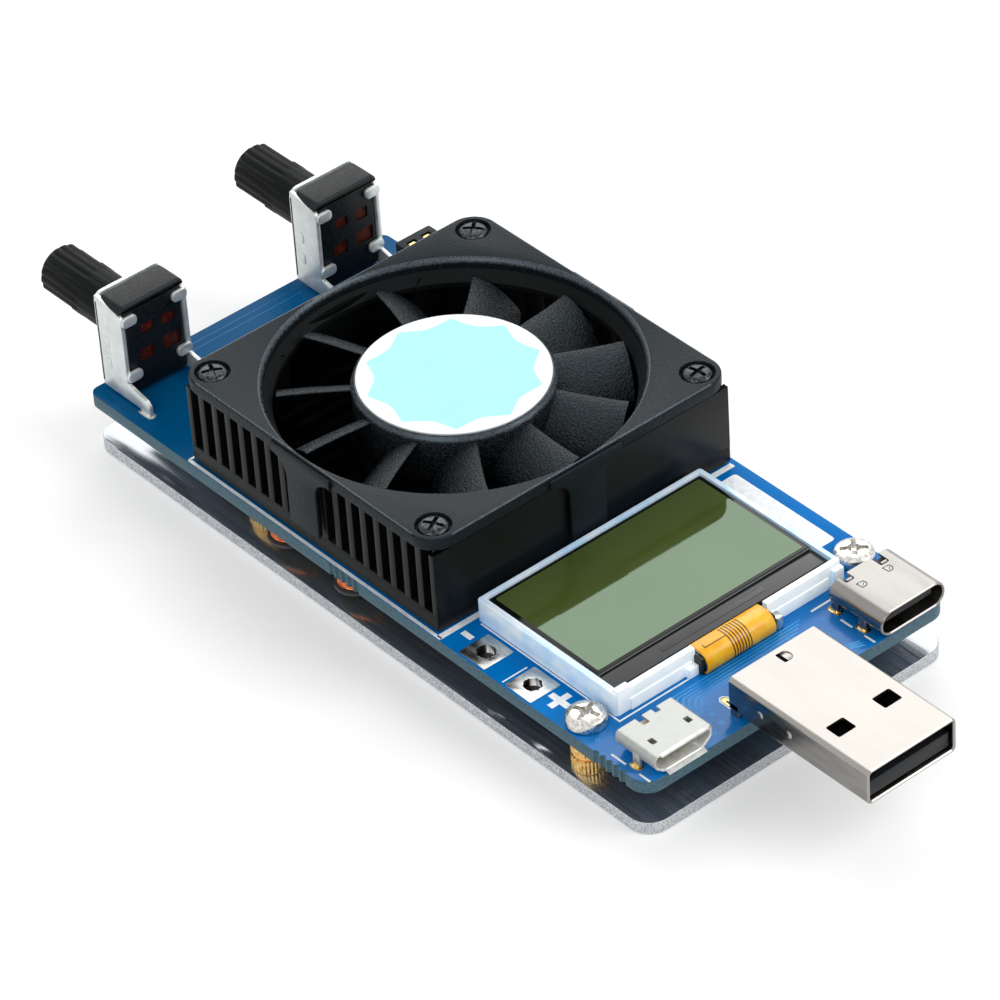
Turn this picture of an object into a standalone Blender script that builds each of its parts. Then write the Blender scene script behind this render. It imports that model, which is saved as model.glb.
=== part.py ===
"""DC electronic load: base plate, board, finned cooler with fan, display, two pots, three USB connectors."""

import math

import bmesh
import bpy
from mathutils import Matrix, Vector

MM = 0.001

# Fits
GAP = 0.3
THREAD_ROOM = 0.3
HOLE_ROOM = 0.3

# Lengths along the board, from the plug's end: room, display, gap, cooler, room for the pots
FRONT_ROOM = 9.8
LCD_D = 21.15
LCD_GAP = 0.35
TAB_T = 0.35
REAR_ROOM = 17.05

# Base plate, with the cooler across its width
PLATE_W = 41.3
SINK_W = PLATE_W - 1.2
FRAME_W = SINK_W + 1.0
PLATE_L = FRONT_ROOM + LCD_D + LCD_GAP + TAB_T + FRAME_W + REAR_ROOM
PLATE_T = 1.5
PLATE_R = 2.6
LCD_Y0 = FRONT_ROOM - PLATE_L / 2
LCD_Y1 = LCD_Y0 + LCD_D
FRAME_Y = LCD_Y1 + LCD_GAP + TAB_T + FRAME_W / 2

# Standoffs and the screws of the board
STANDOFF_H = 4.0
STANDOFF_R = 1.8
KNURL_DEPTH = 0.14
SCREW_R = 1.0
HEAD_R = 2.1
HEAD_H = 1.0
FLANGE_R = 2.4
FLANGE_T = 0.4
CSK_HEAD_R = 1.9
FRONT_HOLE_X = PLATE_W / 2 - 2.4
FRONT_HOLE_Y = LCD_Y0 + 1.6
REAR_HOLE_X = SINK_W / 2 - 4.05
REAR_HOLE_Y = FRAME_Y + 13.7

# Board
PCB_W = PLATE_W
PCB_L = PLATE_L
PCB_T = 1.6
PCB_FRONT_R = 2.2
PCB_REAR_R = 1.2
BITE_R = 0.35
BITE_PITCH = 1.0
BITE_COUNT = 5
BITE_FRONT_Y = 5.3 - PCB_L / 2
BITE_REAR_Y = FRAME_Y - 5.7
OUTPUT_X = 2.25 - PCB_W / 2
OUTPUT_MINUS_Y = LCD_Y1 - 4.4
OUTPUT_PLUS_Y = OUTPUT_MINUS_Y - 7.15
OUTPUT_HOLE_R = 1.05
OUTPUT_PAD_W = 4.0
OUTPUT_PAD_T = 0.05

# Heatsink
SINK_Y = FRAME_Y - 0.15
SINK_H = 9.7
SINK_BASE = 2.0
SLOT_PITCH = 2.2
SLOT_COUNT = int(SINK_W / SLOT_PITCH)
SLOT_W = 1.25
POCKET_R = SINK_W / 2 - 0.85
POCKET_FIN_H = 3.3
HUB_POCKET_R = 11.6
PAD_W = 22.0
PAD_T = 0.6
PAD_RECESS = 0.8

# Fan frame
FRAME_T = 1.5
FRAME_R = 3.0
DUCT_R = FRAME_W / 2 - 0.55
FRAME_HOLE_PITCH = FRAME_W - 5.3
FRAME_SCREW_R = 0.8
FRAME_HEAD_R = 1.4
FRAME_HEAD_H = 0.7
FRAME_RECESS_R = 2.15
FRAME_RECESS_D = 0.8
TAB_W = 4.7
TAB_ROOT_W = 9.6
TAB_ROOT_H = 2.0
TAB_END_H = 2.3

# Fan rotor
BLADES = 11
BLADE_PHASE = 11.3
BLADE_R = DUCT_R - 1.4
BLADE_T = 0.7
BLADE_CHORD_H = 4.7
BLADE_PITCH = 39.0
HUB_R = 10.85
HUB_WALL = 0.9
HUB_TOP_T = 1.0
HUB_H = 5.8
HUB_ABOVE_FRAME = -0.55
LABEL_R = 10.3
LABEL_T = 0.2
FAN_SHAFT_R = 0.75
MAGNET_T = 0.9
MAGNET_H = 4.0

# Fan stator
FAN_BASE_R = 10.6
FAN_BASE_T = 0.7
BEARING_TUBE_R = 3.2
STATOR_WAIST_R = BEARING_TUBE_R + 1.4
STATOR_R = 7.9
STATOR_H = 2.4
DRIVER_R = 8.2
DRIVER_T = 0.4

# Fan lead with its plug and header
LEAD_R = 0.4
LEAD_SPLIT = 0.37
LEAD_X = SINK_W / 2 - 4.65
PLUG_W = 4.8
PLUG_D = 3.0
PLUG_H = 7.2
HEADER_WALL = 0.6
HEADER_H = 5.0
HEADER_Y0 = SINK_Y + SINK_W / 2 + 1.7

# Display
LCD_X0 = 5.05 - PCB_W / 2
LCD_X1 = PCB_W / 2 - 5.8
LCD_TOP = 2.85
LCD_RIM = 0.6
GLASS_T = 0.6
LCD_LEDGE = 3.4
FLEX_X0 = -4.9
FLEX_X1 = 4.3
FLEX_T = 0.2

# USB-A plug
USB_A_X0 = -7.25
USB_A_X1 = 4.65
USB_A_REAR = 2.45 - PCB_L / 2
USB_A_FRONT = USB_A_REAR - 19.85
USB_A_H = 4.25
USB_WALL = 0.35

# USB-C receptacle
USB_C_X = PCB_W / 2 - 5.2
USB_C_W = 8.9
USB_C_H = 3.1
USB_C_FRONT = -0.2 - PCB_L / 2
USB_C_REAR = USB_C_FRONT + 7.6

# Micro-USB receptacle
MICRO_X = 5.25 - PCB_W / 2
MICRO_W = 7.6
MICRO_H = 2.5
MICRO_FRONT = 0.1 - PCB_L / 2
MICRO_REAR = MICRO_FRONT + 5.8

# Potentiometers
POT_NEAR_X = 6.3 - PCB_W / 2
POT_FAR_X = PCB_W / 2 - 8.2
POT_W = 8.8
POT_H = 12.3
POT_FRONT_Y = PCB_L / 2 - 0.3
POT_BACK_Y = POT_FRONT_Y - 4.6
POT_SHEET = 0.5
POT_AXIS_H = 7.0
POT_SHAFT_R = 3.0
POT_TIP_Y = POT_FRONT_Y + 12.5
POT_KNURL_L = 7.2
POT_KNURLS = 18
POT_SPLIT_TURN = 38.0

# Pieces under the board
CORE_R = 2.3
CORE_WAIST_R = 1.3
CORE_FLANGE = 0.5
CORE_H = 2.4
CORE_X = 2.95 - PCB_W / 2
CORE_REAR_Y = FRAME_Y + 7.3
CORE_FRONT_Y = CORE_REAR_Y - 11.0

PCB_Z0 = PLATE_T + STANDOFF_H
PCB_Z1 = PCB_Z0 + PCB_T
SINK_Z0 = PCB_Z1 + GAP
SINK_Z1 = SINK_Z0 + SINK_H
FRAME_Z0 = SINK_Z1 + GAP
FRAME_Z1 = FRAME_Z0 + FRAME_T

scene = bpy.context.scene
for old in list(bpy.data.objects):
    bpy.data.objects.remove(old, do_unlink=True)
parts = bpy.data.collections.new("dc_electronic_load")
cutters = bpy.data.collections.new("cutters")
scene.collection.children.link(parts)
scene.collection.children.link(cutters)
cutters.hide_render = True


def add_object(name, shape, collection, origin=None):
    """An object from a bmesh in millimetres, or from a profile and the turn that makes it round."""
    bm, place, steps = shape if isinstance(shape, tuple) else (shape, None, 0)
    mesh = bpy.data.meshes.new(name)
    if not steps:
        bmesh.ops.recalc_face_normals(bm, faces=bm.faces)
        low = [min(vert.co[k] for vert in bm.verts) for k in range(3)]
        high = [max(vert.co[k] for vert in bm.verts) for k in range(3)]
        place = Matrix.Translation(origin or ((low[0] + high[0]) / 2, (low[1] + high[1]) / 2, low[2]))
        bmesh.ops.transform(bm, matrix=place.inverted(), verts=bm.verts)
    bm.to_mesh(mesh)
    bm.free()
    mesh.transform(Matrix.Scale(MM, 4))
    mesh.shade_smooth()
    mesh.set_sharp_from_angle(angle=math.radians(35))
    obj = bpy.data.objects.new(name, mesh)
    obj.matrix_world = Matrix.Translation(place.translation * MM) @ place.to_3x3().to_4x4()
    collection.objects.link(obj)
    if steps:
        turn = obj.modifiers.new("Turn", "SCREW")
        turn.steps = steps
        turn.render_steps = steps
        turn.use_merge_vertices = True
        turn.merge_threshold = 0.00001
    return obj


def part(name, shape, color, metal=0.0, rough=0.5, origin=None):
    """A sub-part with its own material."""
    obj = add_object(name, shape, parts, origin)
    material = bpy.data.materials.new(name)
    material.use_nodes = True
    shader = material.node_tree.nodes["Principled BSDF"]
    shader.inputs["Base Color"].default_value = (*color, 1.0)
    shader.inputs["Metallic"].default_value = metal
    shader.inputs["Roughness"].default_value = rough
    obj.data.materials.append(material)
    return obj


def boolean(target, shape, operation):
    """Cuts or joins the bodies of a shape to a part."""
    tool = add_object(f"{target.name}_{operation.lower()}_{len(target.modifiers)}", shape, cutters)
    tool.hide_render = True
    tool.display_type = "WIRE"
    modifier = target.modifiers.new(operation.title(), "BOOLEAN")
    modifier.operation = operation
    modifier.solver = "EXACT"
    modifier.object = tool


def cut(target, shape):
    boolean(target, shape, "DIFFERENCE")


def join(target, shape):
    boolean(target, shape, "UNION")


def take_curve(curve, bm, place):
    """Makes a curve a mesh, welds its caps, makes each flat cap one face and adds it to a bmesh."""
    drawn = bpy.data.objects.new("curve", curve)
    mesh = bpy.data.meshes.new_from_object(drawn)
    welded = bmesh.new()
    welded.from_mesh(mesh)
    bmesh.ops.remove_doubles(welded, verts=welded.verts, dist=0.0005)
    if curve.dimensions == "2D":
        for side in (-1, 1):
            cap = [face for face in welded.faces if all(vert.co.z * side > 0 for vert in face.verts)]
            bmesh.ops.dissolve_faces(welded, faces=cap)
    bmesh.ops.transform(welded, matrix=place, verts=welded.verts)
    welded.to_mesh(mesh)
    welded.free()
    bm.from_mesh(mesh)
    bpy.data.objects.remove(drawn)
    bpy.data.curves.remove(curve)
    bpy.data.meshes.remove(mesh)
    return bm


def prism(outline, z0, z1, bm=None, turn=None):
    """A flat outline as a filled curve, extruded between two heights, and turned by a matrix."""
    curve = bpy.data.curves.new("outline", "CURVE")
    curve.dimensions = "2D"
    curve.fill_mode = "BOTH"
    curve.extrude = (z1 - z0) / 2
    spline = curve.splines.new("POLY")
    spline.points.add(len(outline) - 1)
    for point, (x, y) in zip(spline.points, outline):
        point.co = (x, y, 0, 1)
    spline.use_cyclic_u = True
    place = (turn or Matrix.Identity(4)) @ Matrix.Translation((0, 0, (z0 + z1) / 2))
    return take_curve(curve, bm or bmesh.new(), place)


def wire(points, r, bm=None):
    """A round wire along points."""
    curve = bpy.data.curves.new("wire", "CURVE")
    curve.dimensions = "3D"
    curve.bevel_depth = r
    curve.bevel_resolution = 1
    curve.use_fill_caps = True
    spline = curve.splines.new("POLY")
    spline.points.add(len(points) - 1)
    for point, co in zip(spline.points, points):
        point.co = (*co, 1)
    return take_curve(curve, bm or bmesh.new(), Matrix.Identity(4))


def box(x0, x1, y0, y1, z0, z1, bm=None):
    """A block between two corners."""
    bm = bm or bmesh.new()
    middle = Vector((x0 + x1, y0 + y1, z0 + z1)) / 2
    size = Vector((abs(x1 - x0), abs(y1 - y0), abs(z1 - z0)))
    bmesh.ops.create_cube(bm, size=1.0, matrix=Matrix.LocRotScale(middle, None, size))
    return bm


def rounded(x0, x1, y0, y1, radii, steps=5):
    """A rectangle's outline with its four corner radii, from the low corner round."""
    corners = ((x1, y0, -90), (x1, y1, 0), (x0, y1, 90), (x0, y0, 180))
    outline = []
    for (x, y, start), r in zip(corners, radii):
        cx = x - r if x == x1 else x + r
        cy = y - r if y == y1 else y + r
        for k in range(steps + 1):
            a = math.radians(start + 90 * k / steps)
            outline.append((cx + r * math.cos(a), cy + r * math.sin(a)))
    return outline


def lathe(profile, x, y, steps, turn=None):
    """A profile of (radius, height) for a Screw turn about the upright through (x, y)."""
    bm = bmesh.new()
    points = [bm.verts.new((r, 0, z)) for r, z in reversed(profile)]
    for a, b in zip(points, points[1:]):
        bm.edges.new((a, b))
    if profile[0][0] > 0:
        bm.edges.new((points[-1], points[0]))
    return bm, (turn or Matrix.Identity(4)) @ Matrix.Translation((x, y, 0)), steps


def rod(r, z0, z1, x, y, steps, bm=None, turn=None):
    """A cylinder between two heights."""
    bm = bm or bmesh.new()
    place = (turn or Matrix.Identity(4)) @ Matrix.Translation((x, y, (z0 + z1) / 2))
    size = {"segments": steps, "radius1": r, "radius2": r, "depth": z1 - z0}
    bmesh.ops.create_cone(bm, cap_ends=True, matrix=place, **size)
    return bm


def gear(r, depth, teeth):
    """A knurled outline: straight teeth between two radii."""
    outline = []
    for k in range(teeth):
        for part_of_tooth, radius in ((0.0, r - depth), (0.3, r), (0.7, r)):
            a = 2 * math.pi * (k + part_of_tooth) / teeth
            outline.append((radius * math.cos(a), radius * math.sin(a)))
    return outline


def cross(arm, width, z0, z1, x, y):
    """The two bars of a Phillips recess, as one outline."""
    h = width / 2
    outline = [(-arm, -h), (-h, -h), (-h, -arm), (h, -arm), (h, -h), (arm, -h)]
    outline += [(arm, h), (h, h), (h, arm), (-h, arm), (-h, h), (-arm, h)]
    c = math.cos(math.radians(28))
    s = math.sin(math.radians(28))
    turned = [(x + u * c - v * s, y + u * s + v * c) for u, v in outline]
    return prism(turned, z0, z1)


# Turns that lay a body along Y or along X.
ALONG_Y = Matrix.Rotation(-math.pi / 2, 4, "X")
ALONG_X = Matrix(((0, 0, 1, 0), (1, 0, 0, 0), (0, 1, 0, 0), (0, 0, 0, 1)))

# Base plate with its four countersunk holes.
holes = (
    ("front_near", -FRONT_HOLE_X, FRONT_HOLE_Y),
    ("front_far", FRONT_HOLE_X, FRONT_HOLE_Y),
    ("rear_near", -REAR_HOLE_X, REAR_HOLE_Y),
    ("rear_far", REAR_HOLE_X, REAR_HOLE_Y),
)
shank_hole = SCREW_R + HOLE_ROOM
csk_r = CSK_HEAD_R + GAP
csk_depth = csk_r - shank_hole
outline = rounded(-PLATE_W / 2, PLATE_W / 2, -PLATE_L / 2, PLATE_L / 2, [PLATE_R] * 4, 6)
plate = part("base_plate", prism(outline, 0, PLATE_T), (0.75, 0.77, 0.78), 1.0, 0.25)
for _, x, y in holes:
    profile = [(0, -0.5), (csk_r, -0.5), (csk_r, 0.15), (shank_hole, 0.15 + csk_depth)]
    profile += [(shank_hole, 3), (0, 3)]
    cut(plate, lathe(profile, x, y, 16))

# Screws from below, flush with the plate's bottom.
for name, x, y in holes:
    taper = CSK_HEAD_R - SCREW_R
    end = PLATE_T + STANDOFF_H * 0.42
    profile = [(0, 0.1), (CSK_HEAD_R, 0.1), (CSK_HEAD_R, 0.25), (SCREW_R, 0.25 + taper), (SCREW_R, end - 0.2)]
    profile += [(SCREW_R - 0.2, end), (0, end)]
    screw = part(f"base_screw_{name}", lathe(profile, x, y, 16), (0.6, 0.6, 0.6), 1.0, 0.3)
    cut(screw, cross(1.0, 0.35, -0.5, 0.6, x, y))

# Brass standoffs: the rear two end in a stud that screws into the heatsink.
for name, x, y in holes:
    z0 = PLATE_T + GAP
    z1 = PCB_Z0 - GAP
    bore = SCREW_R + THREAD_ROOM
    knurl = [(x + u, y + v) for u, v in gear(STANDOFF_R, KNURL_DEPTH, 14)]
    standoff = part(f"standoff_{name}", prism(knurl, z0, z1), (0.72, 0.45, 0.15), 1.0, 0.3)
    if name.startswith("front"):
        cut(standoff, rod(bore, z0 - 1, z1 + 1, x, y, 12))
        continue
    cut(standoff, rod(bore, z0 - 1, z0 + STANDOFF_H * 0.5, x, y, 12))
    join(standoff, rod(SCREW_R, z1 - 0.4, SINK_Z0 + SINK_BASE - 0.3, x, y, 12))

# Two pan-head screws hold the front of the board.
for name, x in (("near", -FRONT_HOLE_X), ("far", FRONT_HOLE_X)):
    z0 = PCB_Z1 + GAP
    z1 = z0 + FLANGE_T
    low = PLATE_T + STANDOFF_H * 0.58
    profile = [(0, low), (SCREW_R - 0.2, low), (SCREW_R, low + 0.2), (SCREW_R, z0), (FLANGE_R, z0)]
    profile += [(FLANGE_R, z1), (HEAD_R, z1), (HEAD_R, z1 + HEAD_H * 0.45)]
    profile += [(HEAD_R * 0.82, z1 + HEAD_H * 0.85)]
    profile += [(HEAD_R * 0.5, z1 + HEAD_H), (0, z1 + HEAD_H)]
    screw = part(f"board_screw_{name}", lathe(profile, x, FRONT_HOLE_Y, 18), (0.7, 0.68, 0.64), 1.0, 0.25)
    cut(screw, cross(1.35, 0.45, z1 + 0.15, z1 + 3, x, FRONT_HOLE_Y))

# Board: outline with two rows of half-round bites where it broke from its panel.
half_w = PCB_W / 2
half_l = PCB_L / 2
radii = [PCB_FRONT_R, PCB_REAR_R, PCB_REAR_R, PCB_FRONT_R]
outline = rounded(-half_w, half_w, -half_l, half_l, radii)
board = part("pcb", prism(outline, PCB_Z0, PCB_Z1), (0.0, 0.1, 0.45), 0.0, 0.35)
pads = bmesh.new()
half_pad = OUTPUT_PAD_W / 2
pad_top = PCB_Z1 + OUTPUT_PAD_T
pad_x = OUTPUT_X
for y in (OUTPUT_MINUS_Y, OUTPUT_PLUS_Y):
    box(pad_x - half_pad, pad_x + half_pad, y - half_pad, y + half_pad, PCB_Z1 - 0.4, pad_top, pads)
join(board, pads)
bites = bmesh.new()
for middle in (BITE_FRONT_Y, BITE_REAR_Y):
    for k in range(BITE_COUNT):
        y = middle + (k - (BITE_COUNT - 1) / 2) * BITE_PITCH
        rod(BITE_R, PCB_Z0 - 1, PCB_Z1 + 1, -half_w - 0.05, y, 8, bites)
for _, x, y in holes:
    rod(shank_hole, PCB_Z0 - 1, PCB_Z1 + 1, x, y, 14, bites)
for y in (OUTPUT_MINUS_Y, OUTPUT_PLUS_Y):
    rod(OUTPUT_HOLE_R, PCB_Z0 - 1, PCB_Z1 + 1, OUTPUT_X, y, 20, bites)
cut(board, bites)

# Legs of the connectors and pots go through slots in the board.
LEG_T = POT_SHEET
LEG_W = 1.6
usb_c_legs = [(side, y) for side in (-1, 1) for y in (USB_C_REAR - 0.7, USB_C_FRONT + 2.9)]
usb_a_leg_y = USB_A_REAR - 0.7
micro_leg_y = MICRO_FRONT + 2.9
slots = bmesh.new()


def slot(x0, x1, y0, y1):
    box(x0 - HOLE_ROOM, x1 + HOLE_ROOM, y0 - HOLE_ROOM, y1 + HOLE_ROOM, PCB_Z0 - 1, PCB_Z1 + 1, slots)


def leg_span(middle, width, side):
    """The sheet that stands at one side of a body of this width."""
    outer = middle + side * width / 2
    inner = outer - side * LEG_T
    return min(inner, outer), max(inner, outer)


for side, y in usb_c_legs:
    x0, x1 = leg_span(USB_C_X, USB_C_W, side)
    slot(x0, x1, y - 0.5, y + 0.5)
usb_a_mid = (USB_A_X0 + USB_A_X1) / 2
usb_a_w = USB_A_X1 - USB_A_X0
for side in (-1, 1):
    x0, x1 = leg_span(usb_a_mid, usb_a_w, side)
    slot(x0, x1, usb_a_leg_y - 0.6, usb_a_leg_y + 0.6)
    x0, x1 = leg_span(MICRO_X, MICRO_W, side)
    slot(x0, x1, micro_leg_y - 0.5, micro_leg_y + 0.5)
pot_pins = (-2.5, 0.0, 2.5)
POT_PIN_Y = POT_BACK_Y + 1.4
POT_LEG_Y = POT_BACK_Y - 3.6
for middle in (POT_NEAR_X, POT_FAR_X):
    for side in (-1, 1):
        x0, x1 = leg_span(middle, POT_W, side)
        slot(x0, x1, POT_LEG_Y, POT_LEG_Y + LEG_W)
    for pin in pot_pins:
        slot(middle + pin - 0.3, middle + pin + 0.3, POT_PIN_Y - 0.3, POT_PIN_Y + 0.3)
cut(board, slots)

# Heatsink: fins along X, a round pocket for the rotor and a deeper one for its motor.
half = SINK_W / 2
outline = rounded(-half, half, SINK_Y - half, SINK_Y + half, [0.5] * 4, 3)
sink = part("heatsink", prism(outline, SINK_Z0, SINK_Z1), (0.02, 0.022, 0.022), 0.9, 0.5)
fins = bmesh.new()
for k in range(SLOT_COUNT):
    y = SINK_Y + (k - (SLOT_COUNT - 1) / 2) * SLOT_PITCH
    box(-half - 1, half + 1, y - SLOT_W / 2, y + SLOT_W / 2, SINK_Z0 + SINK_BASE, SINK_Z1 + 1, fins)
cut(sink, fins)
cut(sink, rod(POCKET_R, SINK_Z0 + POCKET_FIN_H, SINK_Z1 + 1, 0, FRAME_Y, 40))
cut(sink, rod(HUB_POCKET_R, SINK_Z0 + SINK_BASE, SINK_Z1 + 1, 0, FRAME_Y, 24))
pits = bmesh.new()
box(-PAD_W / 2 - GAP, PAD_W / 2 + GAP, SINK_Y - PAD_W / 2 - GAP, SINK_Y + PAD_W / 2 + GAP,
    SINK_Z0 - 1, SINK_Z0 + PAD_RECESS, pits)
for _, x, y in holes[2:]:
    rod(shank_hole, SINK_Z0 - 1, SINK_Z0 + SINK_BASE + 0.2, x, y, 14, pits)
cut(sink, pits)
reach = FRAME_HOLE_PITCH / 2
corners = [(sx * reach, FRAME_Y + sy * reach) for sx in (-1, 1) for sy in (-1, 1)]
SINK_SCREW_L = 4.5
threads = bmesh.new()
for x, y in corners:
    rod(FRAME_SCREW_R + THREAD_ROOM, SINK_Z1 - SINK_SCREW_L - GAP, SINK_Z1 + 1, x, y, 12, threads)
cut(sink, threads)
channel = bmesh.new()
lead_floor = SINK_Z0 + POCKET_FIN_H
box(LEAD_X - 1.5, LEAD_X + 1.5, SINK_Y + 8.0, SINK_Y + half + 1, lead_floor, lead_floor + 1.7, channel)
cut(sink, channel)

# Thermal pad between the board's copper and the heatsink.
pad_z0 = PCB_Z1 + GAP
pad_z1 = SINK_Z0 + PAD_RECESS - GAP * 0.7
outline = rounded(-PAD_W / 2, PAD_W / 2, SINK_Y - PAD_W / 2, SINK_Y + PAD_W / 2, [0.8] * 4, 3)
part("thermal_pad", prism(outline, pad_z0, pad_z1), (0.55, 0.6, 0.65), 0.0, 0.8)

# Fan frame: a thin plate with a round duct, corner recesses and four clips down the fins.
half = FRAME_W / 2
outline = rounded(-half, half, FRAME_Y - half, FRAME_Y + half, [FRAME_R] * 4, 6)
frame = part("fan_frame", prism(outline, FRAME_Z0, FRAME_Z1), (0.035, 0.037, 0.04), 0.0, 0.6)
clips = bmesh.new()
clip_low = SINK_Z0 + TAB_END_H
for turns in range(4):
    turn = Matrix.Translation((0, FRAME_Y, 0)) @ Matrix.Rotation(math.pi / 2 * turns, 4, "Z")
    inner = half - 0.12
    w = TAB_W / 2
    root = TAB_ROOT_W / 2
    z1 = FRAME_Z1 - (0.9 if turns in (1, 2) else 0.1)
    z2 = FRAME_Z0 - TAB_ROOT_H
    profile = [(-w, clip_low), (w, clip_low), (w, z2), (root - 0.8, z2), (root, z2 + 0.8), (root, z1)]
    profile += [(-root, z1), (-root, z2 + 0.8), (-root + 0.8, z2), (-w, z2)]
    stand = turn @ Matrix.Rotation(math.pi / 2, 4, "X")
    prism(profile, -(half + TAB_T), -inner, clips, stand)
join(frame, clips)
r = DUCT_R
profile = [(0, FRAME_Z0 - 1), (r, FRAME_Z0 - 1), (r, FRAME_Z1 - 0.3), (r + 0.3, FRAME_Z1)]
profile += [(r + 1.3, FRAME_Z1 + 1), (0, FRAME_Z1 + 1)]
cut(frame, lathe(profile, 0, FRAME_Y, 44))
recess_z = FRAME_Z1 - FRAME_RECESS_D
for x, y in corners:
    bore = FRAME_SCREW_R + HOLE_ROOM
    profile = [(0, FRAME_Z0 - 1), (bore, FRAME_Z0 - 1), (bore, recess_z), (FRAME_RECESS_R, recess_z)]
    profile += [(FRAME_RECESS_R, FRAME_Z1 + 1), (0, FRAME_Z1 + 1)]
    cut(frame, lathe(profile, x, y, 20))

# Screws of the frame bite between the heatsink's fins.
for k, (x, y) in enumerate(corners):
    z0 = recess_z + GAP
    z1 = z0 + FRAME_HEAD_H
    low = SINK_Z1 - SINK_SCREW_L
    s = FRAME_SCREW_R
    h = FRAME_HEAD_R
    profile = [(0, low), (s * 0.3, low), (s, low + 0.8), (s, z0), (h, z0), (h, z0 + FRAME_HEAD_H * 0.5)]
    profile += [(h * 0.75, z1), (0, z1)]
    screw = part(f"fan_screw_{k + 1}", lathe(profile, x, y, 14), (0.3, 0.3, 0.32), 1.0, 0.3)
    cut(screw, cross(1.0, 0.35, z0 + 0.25, z1 + 1, x, y))

# Fan rotor: a cup with swept, pitched blades.
hub_top = FRAME_Z1 + HUB_ABOVE_FRAME
hub_low = hub_top - HUB_H
cup = HUB_R - HUB_WALL
boss_low = hub_top - HUB_TOP_T - 1.3
shaft_hole = FAN_SHAFT_R + HOLE_ROOM
profile = [(0, hub_top), (HUB_R - 0.4, hub_top), (HUB_R, hub_top - 0.4), (HUB_R, hub_low), (cup, hub_low)]
profile += [(cup, hub_top - HUB_TOP_T), (2.3, hub_top - HUB_TOP_T), (2.0, boss_low), (shaft_hole, boss_low)]
profile += [(shaft_hole, hub_top - HUB_TOP_T), (0, hub_top - HUB_TOP_T)]
rotor = part("fan_rotor", lathe(profile, 0, FRAME_Y, 36), (0.025, 0.027, 0.03), 0.0, 0.45)
blade_top = hub_top - 0.65
run = BLADE_CHORD_H / math.tan(math.radians(BLADE_PITCH))
BLADE_ROWS = 4
BLADE_COLS = 3
blades = bmesh.new()
bmesh.ops.create_grid(blades, x_segments=BLADE_ROWS, y_segments=BLADE_COLS, size=0.5)
root_r = HUB_R - 0.45
for vert in blades.verts:
    s = vert.co.x + 0.5
    t = 0.5 - vert.co.y
    radius = root_r + (BLADE_R - root_r) * s
    lead = math.radians(BLADE_PHASE + 2.0 - 5.0 * s + 3.0 * s * s)
    angle = lead - run * (0.86 + 0.14 * s) * t / radius * (1.0 - 0.1 * s)
    height = blade_top - 0.35 * s - (BLADE_CHORD_H - 0.35 * s) * (t - 0.16 * math.sin(math.pi * t))
    vert.co = (radius * math.cos(angle), FRAME_Y + radius * math.sin(angle), height)
bmesh.ops.recalc_face_normals(blades, faces=blades.faces)
bmesh.ops.solidify(blades, geom=blades.faces[:], thickness=BLADE_T)
one_blade = blades.verts[:] + blades.edges[:] + blades.faces[:]
for b in range(1, BLADES):
    copied = bmesh.ops.duplicate(blades, geom=one_blade)["geom"]
    verts = [item for item in copied if isinstance(item, bmesh.types.BMVert)]
    spin = Matrix.Rotation(2 * math.pi * b / BLADES, 3, "Z")
    bmesh.ops.rotate(blades, cent=(0, FRAME_Y, 0), matrix=spin, verts=verts)
join(rotor, blades)

# Label, magnet and shaft turn with the rotor.
label_z = hub_top + GAP * 0.5
disc = rod(LABEL_R, label_z, label_z + LABEL_T, 0, FRAME_Y, 36)
part("fan_label", disc, (0.9, 0.95, 0.95), 0.0, 0.4)
m1 = cup - GAP
m0 = m1 - MAGNET_T
mag_z = hub_low + 0.3
profile = [(m0, mag_z), (m1, mag_z), (m1, mag_z + MAGNET_H), (m0, mag_z + MAGNET_H)]
part("fan_magnet", lathe(profile, 0, FRAME_Y, 24), (0.1, 0.09, 0.09), 0.3, 0.6)
floor_z = SINK_Z0 + SINK_BASE
base_z0 = floor_z + GAP
base_z1 = base_z0 + FAN_BASE_T
shaft_low = base_z1 + 0.5
shaft_top = hub_top - HUB_TOP_T - GAP
r = FAN_SHAFT_R
profile = [(0, shaft_low), (0.5, shaft_low), (r, shaft_low + 0.25), (r, shaft_top), (0, shaft_top)]
part("fan_shaft", lathe(profile, 0, FRAME_Y, 20), (0.7, 0.7, 0.72), 1.0, 0.2)

# Motor base with the bearing's tube, then bearing, driver board and stator round it.
tube_top = boss_low - 0.6
bearing_r = BEARING_TUBE_R - 0.7
profile = [(0, base_z0), (FAN_BASE_R, base_z0), (FAN_BASE_R, base_z1), (BEARING_TUBE_R, base_z1)]
profile += [(BEARING_TUBE_R, tube_top), (bearing_r, tube_top), (bearing_r, base_z1 - 0.2), (0, base_z1 - 0.2)]
part("fan_base", lathe(profile, 0, FRAME_Y, 24), (0.03, 0.03, 0.032), 0.0, 0.6)
inner = FAN_SHAFT_R + 0.2
outer = bearing_r - 0.2
bearing_z0 = base_z1 + 0.9
profile = [(inner, bearing_z0), (outer, bearing_z0), (outer, tube_top - 0.2), (inner, tube_top - 0.2)]
part("fan_bearing", lathe(profile, 0, FRAME_Y, 28), (0.6, 0.42, 0.2), 1.0, 0.4)
driver_z = base_z1 + GAP
inner = BEARING_TUBE_R + GAP
top = driver_z + DRIVER_T
profile = [(inner, driver_z), (DRIVER_R, driver_z), (DRIVER_R, top), (inner, top)]
part("fan_driver_board", lathe(profile, 0, FRAME_Y, 32), (0.02, 0.2, 0.08), 0.0, 0.5)
stator_z = driver_z + DRIVER_T + 0.35
poles = []
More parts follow.
